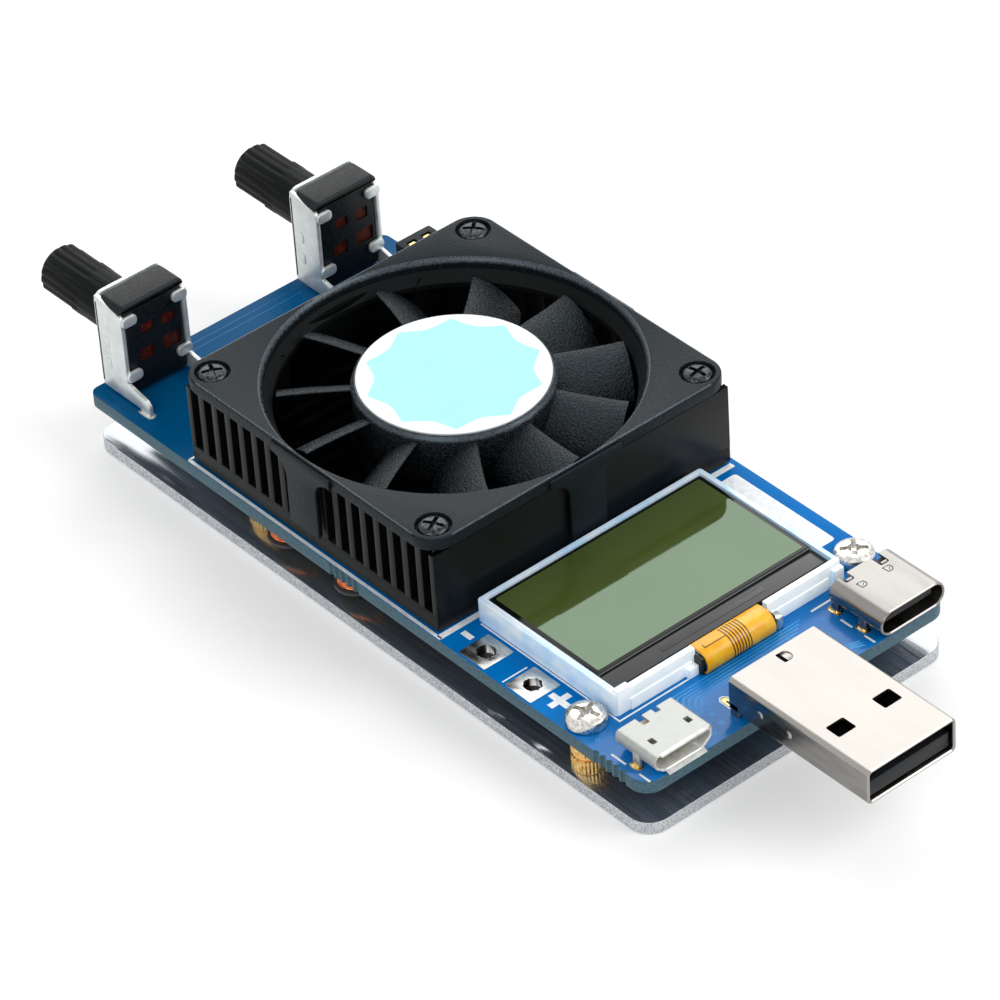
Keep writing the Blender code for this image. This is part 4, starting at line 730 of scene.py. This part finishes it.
# Its front wall is frosted by the moulding die, and is painted nearly white with a faint emission: painted
# light on that wall.
frosted_painted_light = new_finish(
    "frosted acrylic", 2.5, ("#EDF5F6", "#FFFFFF"), (0.35, 0.55), Specular_IOR_Level=0.25,
    Emission_Color=linear("#E6F6F6"), Emission_Strength=0.18)
tray = block(-15.75, 14.85, -35.2, -13.95, GUIDE_LOW, GUIDE_TOP, 0.12, 0.4, 5)
well = block(-15.0, 14.25, -34.5, -14.55, 8.25, 11, 0.03)
gate = block(-5.2, 4.6, -36.5, -34.0, 8.88, 11, 0.05)
studs = [block(*size) for size in (
    (13.35, 14.75, -35.8, -34.9, GUIDE_LOW, 9.45, 0.12), (-13.9, -5.6, -35.34, -34.9, 7.14, 8.6, 0.06),
    (5.0, 13.1, -35.34, -34.9, 7.14, 8.6, 0.06), (-15.5, -13.75, -35.18, -34.35, 9.3, 10.22, 0.08),
    (-6.7, -5.35, -35.95, -35.0, GUIDE_LOW, 8.3, 0.1))]
# The front wall is painted with light.
piece("display_light_guide", [(carve(tray, well, gate), acrylic), (merged(*studs), acrylic)],
      ["lcd_light_guide"], paint=[(lambda at, facing: (at[1] < FRONT_WALL) & (facing[0] > -0.5), frosted_painted_light)])
# Glass over a dark backing: nearly black, and as smooth as glass is.
back_glass = new_finish("dark backed glass", 4.0, ("#181F1C", "#252C28"), (0.03, 0.08), IOR=1.52)
dress(back_glass, "lcd_glass")
# Reflective display film under glass: olive, and glossy enough to mirror a pale room over its front.
display_film = new_finish(
    "olive display film under glass", 9.0, ("#445225", "#495728"), (0.03, 0.05), IOR=1.84,
    Specular_Tint=linear("#CBF0DA"))
# The ink round the view is printed on the inside, a flat black that mirrors little.
ink_border = new_finish("black ink under glass", 3.0, ("#070908", "#101312"), (0.08, 0.16), IOR=1.3)
glass = block(-14.85, 14.1, -31.55, -14.7, GLASS_LOW, 9.75, 0.05, 0.25)
film_sheet = block(-14.7, 13.95, -31.35, -14.9, 9.74, 9.82, 0.02, 0.2)
view_field = block(-14.28, 13.55, -30.92, -15.2, 9.8, 9.84, 0, 0.2)
piece("display_front_glass", [(glass, back_glass), (film_sheet, ink_border), (view_field, display_film)],
      ["lcd_front_glass"])
# Film over the driver chip: dark and smooth, with a soft shine.
strip_film = new_finish(
    "dark film over the driver chip", 3.0, ("#0F1014", "#191A1F"), (0.08, 0.22), Specular_IOR_Level=0.35)
strip = block(-14.85, 14.1, -34.0, -31.6, GLASS_LOW, 9.57, 0.06)
chip = block(-7.6, 6.4, -33.1, -32.3, 9.5, 9.6, 0.02)
piece("display_driver_strip", [(strip, strip_film), (chip, strip_film)], ["lcd_driver_strip"])
# Polyimide film: clear amber over tin, with tracks of etched copper that look dark brown through it.
polyimide = new_finish(
    "amber polyimide flex", 1.5, ("#FAB018", "#FFC632"), (0.2, 0.32), Specular_IOR_Level=0.45)
flex_track = new_finish("etched copper under polyimide", 0.6, ("#5C3509", "#7E4D12"), (0.25, 0.35))
drop = [(-34.05, 9.4), (-34.8, 9.55), (-35.6, 9.52), (-36.3, 9.15), (-36.72, 8.5)]
fold = smooth(drop + [(-36.78, 7.9), (-36.6, 7.42), (-36.2, 7.16)])
run = np.gradient(fold, axis=0)
out = np.stack([run[:, 1], -run[:, 0]], -1) / np.linalg.norm(run, axis=1, keepdims=True)


def ribbon(x0, x1, low, high, start=0, end=None):
    """A strip that follows the fold: its outline is the fold's line moved out by two distances."""
    line, push = fold[start:end], out[start:end]
    return slab(np.concatenate([line + push * low, (line + push * high)[::-1]]), x0, x1, 0.01, "x")


shapes = [(ribbon(-4.9, 4.3, -0.1, 0.09), polyimide)]
shapes += [(ribbon(x, x + 0.16, 0.085, 0.115, 2), flex_track) for x in np.arange(-1.4, 0.9, 0.38)]
shapes += [(ribbon(-4.2, -1.4, 0.085, 0.11, 11, 13), flex_track)]
shapes += [(ribbon(-4.2, -4.06, 0.085, 0.11, 8, 12), flex_track)]
piece("display_flex_fold", shapes, ["lcd_flex"])
# Black glue and a snipped tin tab hold the flex down at its two ends.
glue = new_finish("black silicone glue", 0.5, ("#070808", "#131516"), (0.3, 0.45), 0.03)
shapes = [(block(-5.35, -4.75, -36.5, -34.7, GUIDE_LOW, 9.2, 0.2), glue)]
shapes += [(block(4.15, 4.75, -36.4, -34.7, GUIDE_LOW, 9.2, 0.2), glue)]
shapes += [(block(4.7, 5.7, -36.55, -35.3, GUIDE_LOW, 8.7, 0.15), tin)]
piece("display_flex_ends", shapes)

# USB-A plug: a tinplated steel shell folded from 0.35 mm sheet, with two square windows above and
# below and a rolled front edge, round a black insulator with four gold contacts.
PLUG_MID = -1.3
PLUG_SIDE = -7.25
PLUG_FAR = 4.65
PLUG_LOW = 7.4
PLUG_TOP = 11.65
SHELL = 0.35


def soften(points, radius, steps=5):
    """Rounds the corners of a closed outline: a quadratic curve leaves each side a radius before the
    corner, leans on the corner, and meets the next side a radius past it."""
    points = np.asarray(points, float)
    back = np.roll(points, 1, 0) - points
    ahead = np.roll(points, -1, 0) - points
    far_back = np.linalg.norm(back, axis=1, keepdims=True)
    far_ahead = np.linalg.norm(ahead, axis=1, keepdims=True)
    reach = np.minimum(radius, 0.45 * np.minimum(far_back, far_ahead))
    start = (points + back / far_back * reach)[:, None]
    end = (points + ahead / far_ahead * reach)[:, None]
    t = np.linspace(0, 1, steps)[None, :, None]
    return ((1 - t) ** 2 * start + 2 * t * (1 - t) * points[:, None] + t ** 2 * end).reshape(-1, 2)


def sleeve(outer, inner, front, rear, lip):
    """A hollow shell along Y: rings of the outer and inner outlines of (x, z), with a rounded front lip
    halfway between them."""
    lines = [(outer, rear), (outer, front + lip), (outer * 0.7 + inner * 0.3, front)]
    lines += [(outer * 0.3 + inner * 0.7, front), (inner, front + lip), (inner, rear)]
    rings = np.zeros((len(lines), len(outer), 3))
    rings[..., [0, 2]] = np.stack([line for line, _ in lines])
    rings[..., 1] = np.array([y for _, y in lines])[:, None]
    return skin(rings, True)


def plug_sides(at, facing):
    """True for the outer and inner faces of the plug's two sides."""
    return (np.abs(facing[0]) > 0.94) & (np.abs(at[0] - PLUG_MID) > 5.9) & (at[0] > PLUG_SIDE - 0.01)


# Nickel over steel: a soft grey mirror, drawn out a little along the plug.
shell_steel = new_finish(
    "nickel plated shell steel", 2.5, ("#9D9A95", "#A29F9A"), (0.21, 0.27), 0.001,
    stretch=(1, 0.3, 1), Metallic=1.0)
# The shell's sides are painted a darker steel, a painted dark reflection, so they are a darker mirror than
# its top.
sides_painted_dark = new_finish(
    "burnished shell steel", 1.2, ("#83817E", "#93918E"), (0.15, 0.26), 0.003,
    stretch=(1, 0.2, 1), Metallic=1.0)
# Gold flash over nickel: a thin yellow mirror.
contact_gold = new_finish("gold plated contact", 0.4, ("#C2954A", "#E8C67C"), (0.12, 0.25), Metallic=1.0)
# Connector resin: black and half matt, as it leaves a fine grained die.
black_resin = new_finish(
    "moulded black connector resin", 0.3, ("#0E1013", "#191C20"), (0.35, 0.5), 0.01, Specular_IOR_Level=0.3)
outer = rounded(PLUG_SIDE, PLUG_FAR, PLUG_LOW, PLUG_TOP, 0.6, 7)
inner = rounded(PLUG_SIDE + SHELL, PLUG_FAR - SHELL, PLUG_LOW + SHELL, PLUG_TOP - SHELL, 0.28, 7)
windows = row((PLUG_MID - 3.1, PLUG_MID + 3.1), 1.17, -56.55, -54.55, 6, 13, 0.01, 0.22)
stamp = slab(rounded(-1.62, -0.2, -44.65, -43.1, [0.65, 0.65, 0.2, 0.2], 6), 11, 13, 0, steps=1)
shell = carve(sleeve(outer, inner, -62.3, -42.45, 0.14), windows, stamp)
legs = [block(x, x + SHELL, -43.75, -42.55, 4.95, 8.6, 0.05) for x in (PLUG_SIDE, PLUG_FAR - SHELL)]
profile = [(0, -0.12), (0.3, -0.1), (0.42, -0.02), (0.5, 0.08), (0, 0.1)]
dimples = [turned(profile, (y, 9.6), 20, "x") for y in (-46.97, -51.13)]
dimples = [(points + (PLUG_SIDE, 0, 0), corners, sizes) for points, corners, sizes in dimples]
tab = slab([(-0.95, 11.3), (-0.2, 11.42), (-0.2, 11.52), (-0.95, 11.4)], -44.4, -43.15, 0.02, "y")
shapes = [(shell, shell_steel), (merged(*legs), shell_steel), (merged(tab, *dimples), shell_steel)]
# The plug's sides are painted as a darker reflection.
piece("usb_a_folded_shell", shapes, ["usb_a_shell"], paint=[(plug_sides, sides_painted_dark)])
bed = block(-6.7, 4.1, -61.8, -42.65, 7.95, 9.8, 0.08)
rear_block = block(-6.6, 4.0, -47.85, -42.75, 8.45, 11.1, 0.1)
contacts = row([PLUG_MID + x for x in (-3.5, -1.0, 1.0, 3.5)], 0.5, -60.9, -47.4, 9.6, 9.93, 0.06)
shapes = [(bed, black_resin), (rear_block, black_resin), (contacts, contact_gold)]
piece("usb_a_contacts", shapes, ["usb_a_insulator"])

# USB-C receptacle: a seamless drawn steel shell on four legs in plated slots, with two stamped
# tongues on top, round a thin black tongue with gold contacts on both of its faces.
C_X = 15.45
C_Z = 8.86
C_LEGS = ((11.0, -38.2), (11.0, -42.2), (19.5, -38.2), (19.5, -42.2))
STAMP = [(0.0, 0.42), (0.42, 0.3), (0.45, -0.15), (0.2, -0.42), (-0.35, -0.42), (-0.45, 0.42), (-0.1, 0.42)]


def solder_round(x, y, wide, long):
    """A plated pad, and a low fillet of solder that climbs a leg: its rim shrinks by a power of the
    step while its height grows with the square."""
    rim = rounded(x - wide, x + wide, y - long, y + long, wide * 0.9, 6)
    steps = np.linspace(0, 1, 7)[:, None, None]
    rings = np.zeros((7, len(rim), 3))
    rings[..., :2] = (x, y) + (rim - (x, y)) * (0.92 - 0.6 * steps ** 0.8)
    rings[..., 2] = BOARD_TOP + 0.02 + 0.45 * steps[..., 0] ** 2
    return [(slab(rim, BOARD_TOP, BOARD_TOP + 0.03, 0.01), gold_solder), (skin(rings), gold_solder)]


def drawn_sides(at, facing):
    """True for the upright faces at the shell's two ends."""
    return (np.abs(facing[0]) > 0.8) & (np.abs(at[0] - C_X) > 4.2) & (at[2] < 9.6)


# Drawn stainless steel: greyer than nickel, with faint streaks along the draw.
drawn_steel = new_finish(
    "drawn stainless shell steel", 2.2, ("#8A8784", "#999692"), (0.2, 0.32), 0.003,
    stretch=(1, 0.2, 1), Metallic=1.0)
outer = rounded(11.0, 19.9, 7.31, 10.41, 1.52, 10)
inner = rounded(11.3, 19.6, 7.61, 10.11, 1.22, 10)
notches = [row([x], 0.6, rear, -37, 10.0, 11, 0.01, 0.2) for x, rear in ((12.85, -38.75), (17.25, -39.2))]
shell = carve(sleeve(outer, inner, -45.1, -37.5, 0.12), *notches)
legs = [block(x, x + 0.4, y - 0.5, y + 0.5, 5.05, 8.9, 0.06) for x, y in C_LEGS]
tabs = [row([x], 0.4, rear, rear + 0.35, 9.95, 10.52, 0.08) for x, rear in ((12.85, -38.7), (17.25, -39.15))]
shapes = [(shell, drawn_steel), (merged(*legs, *tabs), drawn_steel)]
# The cut lines round the two stamped tongues are thin black strokes: painted shade in their gaps.
for x, y in ((13.29, -40.0), (16.91, -40.0)):
    shapes.append((stroke(np.add(STAMP, (x, y)), 0.1, 10.39, 10.425), black_resin))
    shapes.append((stroke([(x - 0.1, y - 0.2), (x + 0.25, y + 0.1)], 0.08, 10.39, 10.42), black_resin))
for x, y in C_LEGS:
    shapes += solder_round(x + 0.2, y, 0.5, 0.9)
# The shell's two ends are painted as a darker reflection.
piece("usb_c_drawn_shell", shapes, ["usb_c_shell"], paint=[(drawn_sides, sides_painted_dark)])
core = slab(rounded(11.53, 19.37, 7.81, 9.91, 1.0, 8), -39.9, -37.7, 0.08, "y")
tongue = block(C_X - 3.35, C_X + 3.35, -44.3, -38.5, C_Z - 0.35, C_Z + 0.35, 0.1)
contacts = row(C_X + 0.5 * np.arange(-5.5, 6), 0.14, -43.9, -39.8, C_Z - 0.38, C_Z + 0.38, 0.02)
shapes = [(core, black_resin), (tongue, black_resin), (contacts, contact_gold)]
piece("usb_c_tongue_moulded", shapes, ["usb_c_tongue"])

# Micro-USB receptacle: a folded steel shell, wide above and narrow below, with flared lips and two
# latch windows on top, soldered by a leg on each side, round a beige resin tongue.
M_X = -15.4
M_LOW = 7.34
M_TOP = 9.84


def keystone(inset):
    """The shell's outline of (x, z): a narrow foot, slanted lower corners, upright sides."""
    half = 3.8 - inset
    side = [(half - 1.2, M_LOW + inset), (half, M_LOW + 1.05 + inset / 3), (half, M_TOP - inset)]
    other = [(M_X - x, z) for x, z in side[::-1]]
    return soften([(M_X + x, z) for x, z in side] + other, 0.5 - inset * 0.6, 6)


def opening(at, facing):
    """True for the inner faces that show through the receptacle's mouth."""
    return (at[1] < -40) & (np.abs(at[0] - M_X) < 3.6) & (np.abs(at[2] - 8.5) < 1.1)


windows = [row([x], 0.33, -43.1, -42.2, 9.4, 11, 0.01, 0.08) for x in (-17.6, -12.9)]
windows += [block(-16.6, -15.75, -40.3, -38, 9.4, 11, 0.01, 0.08)]
windows += [block(-14.5, -13.8, -39.75, -38, 9.4, 11, 0.01, 0.08)]
shell = carve(sleeve(keystone(0), keystone(0.28), -44.8, -39.0, 0.1), *windows)
low_lip = [(-44.5, 7.38), (-45.3, 7.22), (-45.3, 7.34), (-44.5, 7.64)]
top_lip = [(-44.6, M_TOP), (-45.12, M_TOP + 0.12), (-45.14, M_TOP - 0.08), (-44.6, M_TOP - 0.28)]
lips = merged(slab(low_lip, M_X - 2.4, M_X + 2.6, 0.03, "x"), slab(top_lip, M_X - 3.1, M_X + 3.1, 0.02, "x"))
ears = [block(x, x + 0.45, -42.4, -41.4, 5.15, 9.0, 0.06) for x in (-19.2, -12.05)]
# Its flared lips are painted bright, a painted highlight, and so is its inside where it shows through the
# mouth, painted light where there is shade.
tin_painted_bright = new_finish("tinned lip and mouth, painted bright", 0.6, ("#CFD0CD", "#E4E5E2"), (0.3, 0.42), Metallic=0.4)
# This shell's sheet is tinned dull, so it shows an even pale grey and mirrors little.
dull_tin = new_finish(
    "dull tinned shell steel", 1.2, ("#A2A4A0", "#B0B2AE"), (0.36, 0.48), 0.004, Metallic=0.7)
shapes = [(shell, dull_tin), (merged(*ears), dull_tin), (lips, tin_painted_bright)]
shapes += solder_round(-19.1, -41.9, 0.5, 0.8) + solder_round(-11.7, -41.9, 0.5, 0.8)
# The inside seen through the mouth is painted with light.
piece("micro_usb_folded_shell", shapes, ["micro_usb_shell"], paint=[(opening, tin_painted_bright)])
# Beige resin: undyed, half matt and a little uneven.
beige_resin = new_finish("moulded beige connector resin", 0.5, ("#C2B89E", "#D9D1BC"), (0.45, 0.6))
tongue = block(-17.5, -13.3, -43.9, -39.4, 8.39, 8.89, 0.06)
core = block(-17.7, -13.1, -40.8, -39.2, 7.84, 9.34, 0.06)
contacts = row([M_X + 0.65 * k for k in (-2, -1, 0, 1, 2)], 0.2, -43.6, -40.6, 8.36, 8.5, 0.03)
shapes = [(tongue, beige_resin), (core, beige_resin), (contacts, contact_gold)]
piece("micro_usb_tongue_moulded", shapes, ["micro_usb_tongue"])

# Screws of the board: two pan head steel screws in the front corners, with a crossed recess that
# shows as a dark cross. Their nickel is bright, broken by the small dents of barrel plating.
head_steel = new_finish("nickel plated head steel", 0.35, ("#BDBBB5", "#E6E4DF"), (0.2, 0.36), Metallic=1.0)
profile = [(0, 3.9), (0.9, 3.9), (1.2, 4.3), (1.2, 7.12), (2.0, 7.12), (2.16, 7.22), (2.2, 7.45), (2.16, 7.8)]
profile += [(2.16, 7.95), (2.05, 8.22), (1.75, 8.42), (1.2, 8.55), (0.6, 8.6), (0, 8.61)]
for place, angle in (("near", 0.35), ("far", 0.9)):
    x, y = HOLES[f"front_{place}"]
    cone = turned([(0, 7.6), (0.3, 7.6), (0.82, 8.9), (0, 8.9)], (x, y), 24)
    head = carve(carve(turned(profile, (x, y), 64), cross(x, y, angle, 1.5, 0.56, 7.85, 9.5)), cone)
    piece(f"board_screw_head_{place}", [(head, head_steel)],
          [f"board_screw_{place}"], sharp=25)

# Potentiometers: a black case in a bracket of bright sheet that wraps its front and sides, with four
# fingers folded over its back, and a black split shaft, knurled for a knob, that points off the board.
POT_H = 4.4
SHAFT_Z = 14.1
SPLIT_TURN = math.radians(38)
SPLIT_HALF = 0.5
SHAFT_FLUTES = 18
SIDE = [(44.5, 7.4), (44.5, 19.25), (40.8, 18.5), (40.0, 18.0), (40.0, 9.5), (37.0, 8.9), (36.4, 8.3)]
SIDE += [(36.4, 4.95), (38.0, 4.95), (38.0, 7.4)]
CASE_HOLES = ((-2.2, -0.25, 11.3, 12.9), (1.0, 3.3, 11.25, 13.1), (-1.65, 0.0, 14.75, 16.0))
CASE_HOLES += ((1.05, 2.75, 14.5, 15.9),)
# Zinc on sheet steel: a pale grey that is half metal and half haze.
sheet_steel = new_finish(
    "zinc plated sheet steel", 1.4, ("#CBD1D0", "#DDE2E1"), (0.34, 0.46), 0.003, Metallic=0.6)
# Phenolic: a hard moulded resin, black and half matt for the case, dark red for the element's card.
case_plastic = new_finish(
    "moulded black case phenolic", 0.35, ("#090B0D", "#13171B"), (0.36, 0.52), 0.02, Specular_IOR_Level=0.22)
red_phenolic = new_finish(
    "dark red phenolic", 0.5, ("#260A05", "#56190C"), (0.45, 0.6), 0.02, Specular_IOR_Level=0.15)
# Shaft nylon: a dull black that shows its flutes by shade and hardly by gloss.
shaft_plastic = new_finish(
    "moulded black shaft nylon", 0.25, ("#060809", "#0C0F11"), (0.44, 0.56), 0.02, Specular_IOR_Level=0.09)
spring_bronze = new_finish("phosphor bronze", 0.4, ("#B38747", "#DAB67E"), (0.18, 0.35), Metallic=1.0)


def knurled_shaft(x):
    """The shaft is a function of height along Y and angle: a radius by height, less a cosine flute round
    the knurled half, its depth raised to a power so that the crests are broad."""
    y = np.array([42.4, 42.4, 49.9, 50.6, 56.5, 56.8, 57.1, 57.1])
    radius = np.array([0, 2.94, 2.94, 2.98, 2.98, 2.75, 2.45, 0])
    deep = np.array([0, 0, 0, 1, 1, 0.6, 0, 0]) * 0.2
    a = circle(SHAFT_FLUTES * 8)
    radius = radius[:, None] - deep[:, None] * (0.5 - 0.5 * np.cos(SHAFT_FLUTES * a)) ** 2.2
    split = [(5, SPLIT_HALF), (-5, SPLIT_HALF), (-5, -SPLIT_HALF), (5, -SPLIT_HALF)]
    split = slab(swung(split, SPLIT_TURN, (x, SHAFT_Z)), 52.1, 58, 0.01, "y")
    return carve(spun(radius, y, (x, SHAFT_Z), "y"), split)


def across(x, way, near, far):
    """The span between two distances to one side of x, its low end first."""
    return sorted((x + way * near, x + way * far))


for pot, x in (("near", -14.35), ("far", 12.45)):
    face = slab(rounded(x - POT_H, x + POT_H, 7.8, 19.4, [0.2, 1.0, 1.0, 0.2], 6), 44.1, 44.6, 0.1, "y")
    shapes = [(carve(face, bore((x, SHAFT_Z), 3.15, 43, 46, 48, "y")), sheet_steel)]
    for way in (-1, 1):
        shapes.append((slab(soften(SIDE, 0.25), *across(x, way, POT_H, POT_H - 0.5), 0.08, "x"), sheet_steel))
        for z in (10.2, 13.0):
            rib = soften([(42.6, z), (43.4, z), (43.4, z + 1.4), (42.6, z + 1.4)], 0.5)
            shapes.append((slab(rib, *across(x, way, POT_H, POT_H + 0.05), 0.02, "x"), sheet_steel))
        for z in (16.9, 9.7):
            finger = rounded(*across(x, way, POT_H - 0.05, POT_H - 2.0), z, z + 1.3, 0.5, 5)
            shapes.append((slab(finger, 39.65, 40.15, 0.14, "y"), sheet_steel))
        shapes += [(shape, tin) for shape, _ in solder_round(x + way * 4.2, 37.2, 0.55, 1.15)]
    piece(f"pot_{pot}_bracket_folded", shapes, [f"pot_{pot}_bracket"])
    case = block(x - 3.8, x + 3.8, 40.2, 43.8, 7.9, 19.0, 0.1, 0.3)
    cuts = [block(x + a, x + b, 39, 40.6, c, d, 0.02, 0.15) for a, b, c, d in CASE_HOLES]
    cap = [(-4.35, 18.4), (4.35, 18.4), (4.35, 18.8), (3.8, 19.35), (-3.8, 19.35), (-4.35, 18.8)]
    cap = slab(soften(np.add(cap, (x, 0)), 0.2), 40.1, 43.95, 0.4, "y", 5)
    card = block(x - 3.5, x + 3.5, 40.45, 40.9, 10.4, 17.2, 0.05)
    shapes = [(carve(case, merged(*cuts)), case_plastic), (cap, case_plastic), (card, red_phenolic)]
    piece(f"pot_{pot}_case", shapes, [f"pot_{pot}_body"])
    piece(f"pot_{pot}_shaft_knurled", [(knurled_shaft(x), shaft_plastic)], [f"pot_{pot}_shaft"],
          f"pot_{pot}_turning", sharp=40)
dress(red_phenolic, "pot_near_element", "pot_far_element")
dress(spring_bronze, "pot_near_wiper", "pot_far_wiper")

# Inductors: two small drums of grey ferrite under the board's near edge, each wound with one layer of
# bare-looking enamelled copper wire that glints between the board and the plate.
ferrite = new_finish("grey sintered ferrite", 0.25, ("#2A2B2F", "#45474B"), (0.4, 0.6), 0.02)
copper_wire = new_finish("enamelled copper wire", 0.5, ("#B84E1E", "#E88A4E"), (0.15, 0.3), Metallic=0.9)
drum = [(0, 2.8), (2.15, 2.8), (2.3, 2.95), (2.3, 3.25), (2.2, 3.3), (1.2, 3.3), (1.2, 4.7), (2.2, 4.7)]
drum += [(2.3, 4.75), (2.3, 5.05), (2.15, 5.2), (0, 5.2)]
t = np.linspace(0, 1, 41)
coil = np.stack([1.86 + 0.11 * np.abs(np.sin(5 * math.pi * t)), 3.42 + 1.16 * t], -1)
coil = np.concatenate([[(1.3, 3.42)], coil, [(1.3, 4.58)]])
for place, y in (("rear", 14.6), ("front", 3.6)):
    core, wound = turned(drum, (-17.7, y), 64), turned(coil, (-17.7, y), 64, closed=True)
    piece(f"inductor_{place}_drum", [(core, ferrite)], [f"inductor_{place}_core"])
    piece(f"inductor_{place}_coil", [(wound, copper_wire)], [f"inductor_{place}_winding"])

# Chips of the load circuit, under the board: black moulded epoxy bodies with tinned leads, and a
# current sensing resistor with tinned ends. Moulded epoxy is matt, with a fine grain.
CHIP_TOP = 5.2
LEAD_TOP = 5.17
epoxy = new_finish("black moulded epoxy", 0.12, ("#161618", "#262629"), (0.45, 0.6), 0.01)
chips = (("mosfet", 0.0, 7.15, 6.6, 6.1, 2.3), ("microcontroller", 1.5, -20.5, 7.0, 7.0, 1.4))
chips += (("sense_resistor", -7.5, -6.0, 6.3, 3.2, 0.7), ("op_amp", 11.0, -19.0, 4.9, 3.9, 1.5))
for name, x, y, wide, long, high in chips:
    case = row([x], wide / 2, y - long / 2, y + long / 2, CHIP_TOP - high, CHIP_TOP, 0.08, 0.25)
    if name == "mosfet":
        leads = [row([x], 2.6, y + 2.9, y + 4.05, 4.7, LEAD_TOP, 0.04)]
        leads += [row((x - 2.3, x + 2.3), 0.4, y - 5.45, y - 2.85, 4.7, LEAD_TOP, 0.04)]
    elif name == "sense_resistor":
        leads = [row((x - 2.85, x + 2.85), 0.6, y - 1.65, y + 1.65, 4.45, LEAD_TOP, 0.04)]
    else:
        count, pitch = (8, 0.8) if name == "microcontroller" else (4, 1.27)
        spots = [(x + k, y + way * (long / 2 + 0.3)) for k in (np.arange(count) - (count - 1) / 2) * pitch
                 for way in (-1, 1)]
        leads = [row([u], 0.18, v - 0.5, v + 0.5, 4.85, LEAD_TOP, 0.04) for u, v in spots]
    piece(f"{name}_moulded", [(case, epoxy), (merged(*leads), tin)], [name])

# Floor: a plain white sheet that carries the object and keeps its shadow.


def seen(tree):
    """1 for a ray that the eye sees, straight, in a mirror or through glass, and 0 for other light."""
    path = add(tree, "LightPath")
    level = path.outputs["Is Camera Ray"]
    for kind in ("Is Glossy Ray", "Is Transmission Ray"):
        level = add(tree, "Math", {0: level, 1: path.outputs[kind]}, operation="MAXIMUM").outputs[0]
    return level


bpy.ops.mesh.primitive_plane_add(size=6, location=(0, 0, -0.0001))
floor = bpy.context.object
floor.name = "floor"
# Backdrop paper: matt and pale, lifted a little for the eye alone, so that it fades into the room.
sheet = bpy.data.materials.new("white backdrop paper")
sheet.use_nodes = True
tree = sheet.node_tree
tree.nodes.clear()
lift = add(tree, "Math", {0: seen(tree), 1: 0.3}, operation="MULTIPLY")
paper = add(tree, "BsdfDiffuse", {"Color": linear("#E4E4E4")})
glow = add(tree, "Emission", {"Color": (1, 1, 1, 1), "Strength": lift.outputs[0]})
both = add(tree, "AddShader", {0: paper.outputs[0], 1: glow.outputs[0]})
add(tree, "OutputMaterial", {"Surface": both.outputs[0]})
floor.data.materials.append(sheet)

# Light: a soft even room that is white to the eye, one large panel behind and above that the level
# faces mirror, a broad lamp over the near side, and one over the USB end.
FOCUS = (0, 0, 0.01)
world = bpy.data.worlds.new("soft studio")
bpy.context.scene.world = world
world.use_nodes = True
tree = world.node_tree
tree.nodes.clear()
level = add(tree, "MapRange", {"Value": seen(tree), "To Min": 0.55, "To Max": 1.0})
air = add(tree, "Background", {"Color": (1, 1, 1, 1), "Strength": level.outputs[0]})
add(tree, "OutputWorld", {"Surface": air.outputs[0]})


def panel(name, place, width, height, power):
    """An oblong area lamp at a place, in metres, that faces the object."""
    lamp = bpy.data.lights.new(name, "AREA")
    lamp.shape = "RECTANGLE"
    lamp.size = width
    lamp.size_y = height
    lamp.energy = power
    gaze = np.array(FOCUS) - np.array(place)
    level = math.hypot(gaze[0], gaze[1])
    obj = new_object(name, lamp)
    obj.location = place
    obj.rotation_euler = (math.atan2(level, -gaze[2]), 0, math.atan2(gaze[1], gaze[0]) - math.pi / 2)


panel("rear_panel", (0.485, 0.615, 0.64), 1.0, 0.9, 5.3)
panel("near_lamp", (-0.75, -0.35, 0.7), 0.7, 0.7, 2.6)
panel("front_lamp", (0.52, -0.62, 0.68), 0.6, 0.6, 4.0)

# Camera: off the corner between the USB end and the near long side, looking down at 39 degrees
# through a long lens.
lens = bpy.data.cameras.new("camera")
lens.lens = 200.03
lens.sensor_width = 36
lens.shift_x = -0.0070
lens.shift_y = 0.0139
lens.clip_start = 0.01
camera = new_object("camera", lens)
camera.location = (-0.28218410, -0.35744718, 0.36592427)
camera.rotation_euler = Euler([math.radians(v) for v in (51.47023897, 3.08879376, -40.74285777)])
bpy.context.scene.camera = camera
bpy.context.scene.view_settings.view_transform = "Standard"
